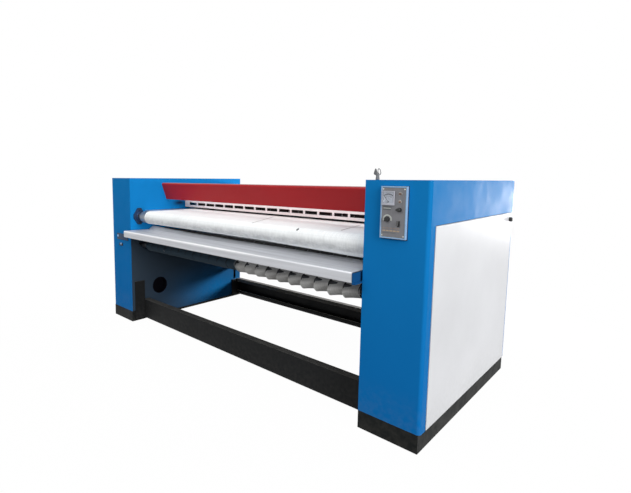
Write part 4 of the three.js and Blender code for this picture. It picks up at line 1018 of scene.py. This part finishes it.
def make_knobs():
    """The fluted speed knob, the pointed selector handle, the lamp's lens and the fuse's cap."""
    grip, pin = Shape(), 0.004
    middle, radius, sides, flutes, fluting = on_panel(SPEED), 0.013, 72, 12, 0.0006
    turns, rings = [2 * pi * i / sides for i in range(sides)], []
    for out, share, cut in ((0.0003, 1.0, 0), (0.0018, 1.0, 0), (0.0023, 0.94, 1), (0.0128, 0.86, 1),
                            (0.0141, 0.80, 0), (0.0143, 0.70, 0)):
        reaches = [radius * share + cut * fluting * cos(flutes * a) for a in turns]
        rings.append([middle + Vector((r * cos(a), -out, r * sin(a))) for r, a in zip(reaches, turns)])
    grip.rings(rings)
    top, ridge = on_panel(SPEED, 0.0155), Vector((0.012, 0.0022, 0.0022))
    grip.box(top - ridge, top + ridge, 0.0012, 3, Matrix.Rotation(radians(-52), 3, "Y"))
    boss(grip, SPEED, stairs(-0.0003, pin, 0.0095), None, 24)
    grip.done("speed_knob_grip", black_plastic, "black_plastic", "speed_knob", body="speed_knob")

    handle = Shape()
    middle, radius = on_panel(SELECTOR), 0.0105
    hull = [(radius * cos(a), radius * sin(a)) for a in (radians(-125 + 250 * i / 24) for i in range(25))]
    hull += [(-0.0165, 0.0022), (-0.0172, 0.0), (-0.0165, -0.0022)]
    handle.rings([[middle + Vector((x * share, -out, z * share)) for x, z in hull] for out, share in (
        (0.0003, 1.0), (0.009, 1.0), (0.0105, 0.93), (0.0165, 0.84), (0.0175, 0.74))])
    handle.turned(stairs(-0.0003, pin, 0.0095), "Y", middle, 24)
    handle.done("selector_handle", black_plastic, "black_plastic", "selector_knob", body="selector_knob")

    stem = [(0, -0.008), (pin, -0.008), (pin, 0.0003), (0.0065, 0.0003)]
    lens = Shape()
    boss(lens, LAMP, stem + [(0.0065, 0.0045), (0.0045, 0.007), (0, 0.0076)],
         [0, 0.0002, 0.0004, 0.0025, 0.002])
    lens.done("lamp_lens", amber, "lamp_amber", "indicator_lamp")
    cap = Shape()
    boss(cap, FUSE, stem + [(0.006, 0.0063), (0, 0.0063)], [0, 0.0002, 0.0004, 0.0008])
    cross, half = on_panel(FUSE, 0.0063), Vector((0.0045, 0, 0.0007))
    cap.box(cross - half - Vector((0, 0.0006, 0)), cross + half + Vector((0, 0.0003, 0)), 0.0002)
    cap.done("fuse_cap_head", fuse_brown, "black_plastic", "fuse_cap", body="fuse_cap")


def make_wing_screw():
    """A wing screw on top of the right cabinet: a stout hub, one solid ear and one ring-shaped ear."""
    low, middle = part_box("wing_screw")[0], centre("wing_screw")
    x, y, foot = middle.x, middle.y, TOP + 0.0003
    shape = Shape()
    shape.turned([(0, low.z), (0.005, low.z), (0.005, foot), (0.0095, foot), (0.0095, foot + 0.004),
                  (0.0078, foot + 0.02), (0.0064, foot + 0.034), (0, foot + 0.037)], "Z", (x, y, 0), 40,
                 [0, 0.0002, 0.001, 0.001, 0.004, 0.003])
    ear = [(-3, 20), (-10, 22), (-21, 28), (-18, 42), (-12.5, 58), (-8, 50), (-2, 34)]
    outline = fillet([Vector(p) * MM for p in ear + ear[:1]], [r * MM for r in (2, 3, 5, 2, 4, 2)])
    shape.rings([[Vector((x + p.x, y + side, foot + p.y)) for p in outline[:-1]]
                 for side in (-0.0028, 0.0028)])
    path = [(1.5, 34), (0.5, 50), (6, 57), (13, 48), (17, 33), (12, 24), (4, 25)]
    ring = fillet([Vector(p) * MM for p in path + path[:1]], [r * MM for r in (3, 4, 4, 5, 4, 4)])[:-1]
    wide, thick = 0.0016, 0.0022
    turns = [2 * pi * j / 12 for j in range(12)]
    tube = []
    for i, p in enumerate(ring):
        along = (ring[(i + 1) % len(ring)] - ring[i - 1]).normalized()
        out = Vector((along.y, -along.x)) * wide
        tube.append([Vector((x + p.x + out.x * cos(a), y + thick * sin(a), foot + p.y + out.y * cos(a)))
                     for a in turns])
    shape.rings(tube, closed=True)
    shape.done("wing_screw_cast", screw_grey, "zinc", "wing_screw", body="wing_screw")


make_panel_plates()
make_seal_and_shadow()
make_dial()
make_knobs()
make_wing_screw()


# ---- floor, lamps and backdrop ----
FLOOR_SEEN, FLOOR_BOUNCE = (226, 226, 226), (130, 130, 130)      # its colour to the camera and as a light
SKY_LIGHT = 0.15
WHITE = (1, 1, 1, 1)


def make_floor():
    """A pale floor that the camera sees as near white; what it throws back on the machine is dimmer."""
    data = bpy.data.meshes.new("floor")
    half = 40.0
    data.from_pydata([(-half, -half, 0), (half, -half, 0), (half, half, 0), (-half, half, 0)], [],
                     [(0, 1, 2, 3)])
    floor = placed("floor", data)
    s = Surface("pale_floor", FLOOR_SEEN, 0.9, Specular_IOR_Level=0.0)
    rays = s.add("LightPath").outputs
    seen = s.calc("MAXIMUM", rays["Is Camera Ray"], rays["Is Glossy Ray"])
    s.set("Base Color", s.mix(seen, linear(*FLOOR_BOUNCE), linear(*FLOOR_SEEN)))
    white = s.add("Emission", {"Color": WHITE, "Strength": 1.0})
    across = s.add("VectorMath", {0: s.point}, operation="LENGTH").outputs["Value"]
    share = s.times(seen, s.spread(across, 1.5, 3.0, 0.985, 1.0))
    both = s.add("MixShader", {0: share, 1: s.shader.outputs[0], 2: white.outputs[0]})
    s.put(s.tree.nodes["Material Output"].inputs["Surface"], both.outputs[0])
    data.materials.append(s.material)


def make_world():
    """A white sky for the camera, mirrors and glass, that is a dim light for all else."""
    world = bpy.data.worlds.new("studio")
    bpy.context.scene.world = world
    sky = Nodes(world)
    background = sky.tree.nodes["Background"].inputs
    rays = sky.add("LightPath").outputs
    seen = sky.calc("MAXIMUM", rays["Is Camera Ray"], rays["Is Glossy Ray"])
    seen = sky.calc("MAXIMUM", seen, rays["Is Transmission Ray"])
    sky.put(background["Color"], WHITE)
    sky.put(background["Strength"], sky.spread(seen, 0.0, 1.0, SKY_LIGHT, 1.0))


def make_lamp(name, place, target, size, power):
    data = bpy.data.lights.new(name, "AREA")
    data.shape = "RECTANGLE"
    data.size, data.size_y = size
    data.energy = power
    light = placed(name, data)
    light.location = place
    light.visible_camera = False
    light.rotation_euler = (Vector(target) - Vector(place)).to_track_quat("-Z", "Y").to_euler()


make_floor()
make_world()
for setting in (
        ("key_right", (14, -5, 9), (0.3, 0, 0.8), (9, 7), 1430),
        ("side_low", (13, -3.5, 2.2), (1.4, 0, 0.7), (5, 3), 560),
        ("top_soft", (0.0, -1.0, 10), (0, 0, 0.6), (10, 8), 480),
        ("front_high", (-1.0, -8.5, 6.2), (0.0, 0, 0.9), (8, 3), 345),
        ("rear_soft", (1.4, 3.4, 1.0), (-1.0, 0.42, 0.25), (1.6, 0.6), 114),
        ("under_hood", (0, -0.2425, 1.17), (0, -0.0825, 1.03), (2.2, 0.08), 2.1),
        ("over_tray", (0, -0.50, 0.905), (0, -0.465, 0.84), (2.2, 0.12), 0.95)):
    make_lamp(*setting)

bpy.context.scene.view_settings.view_transform = "Standard"
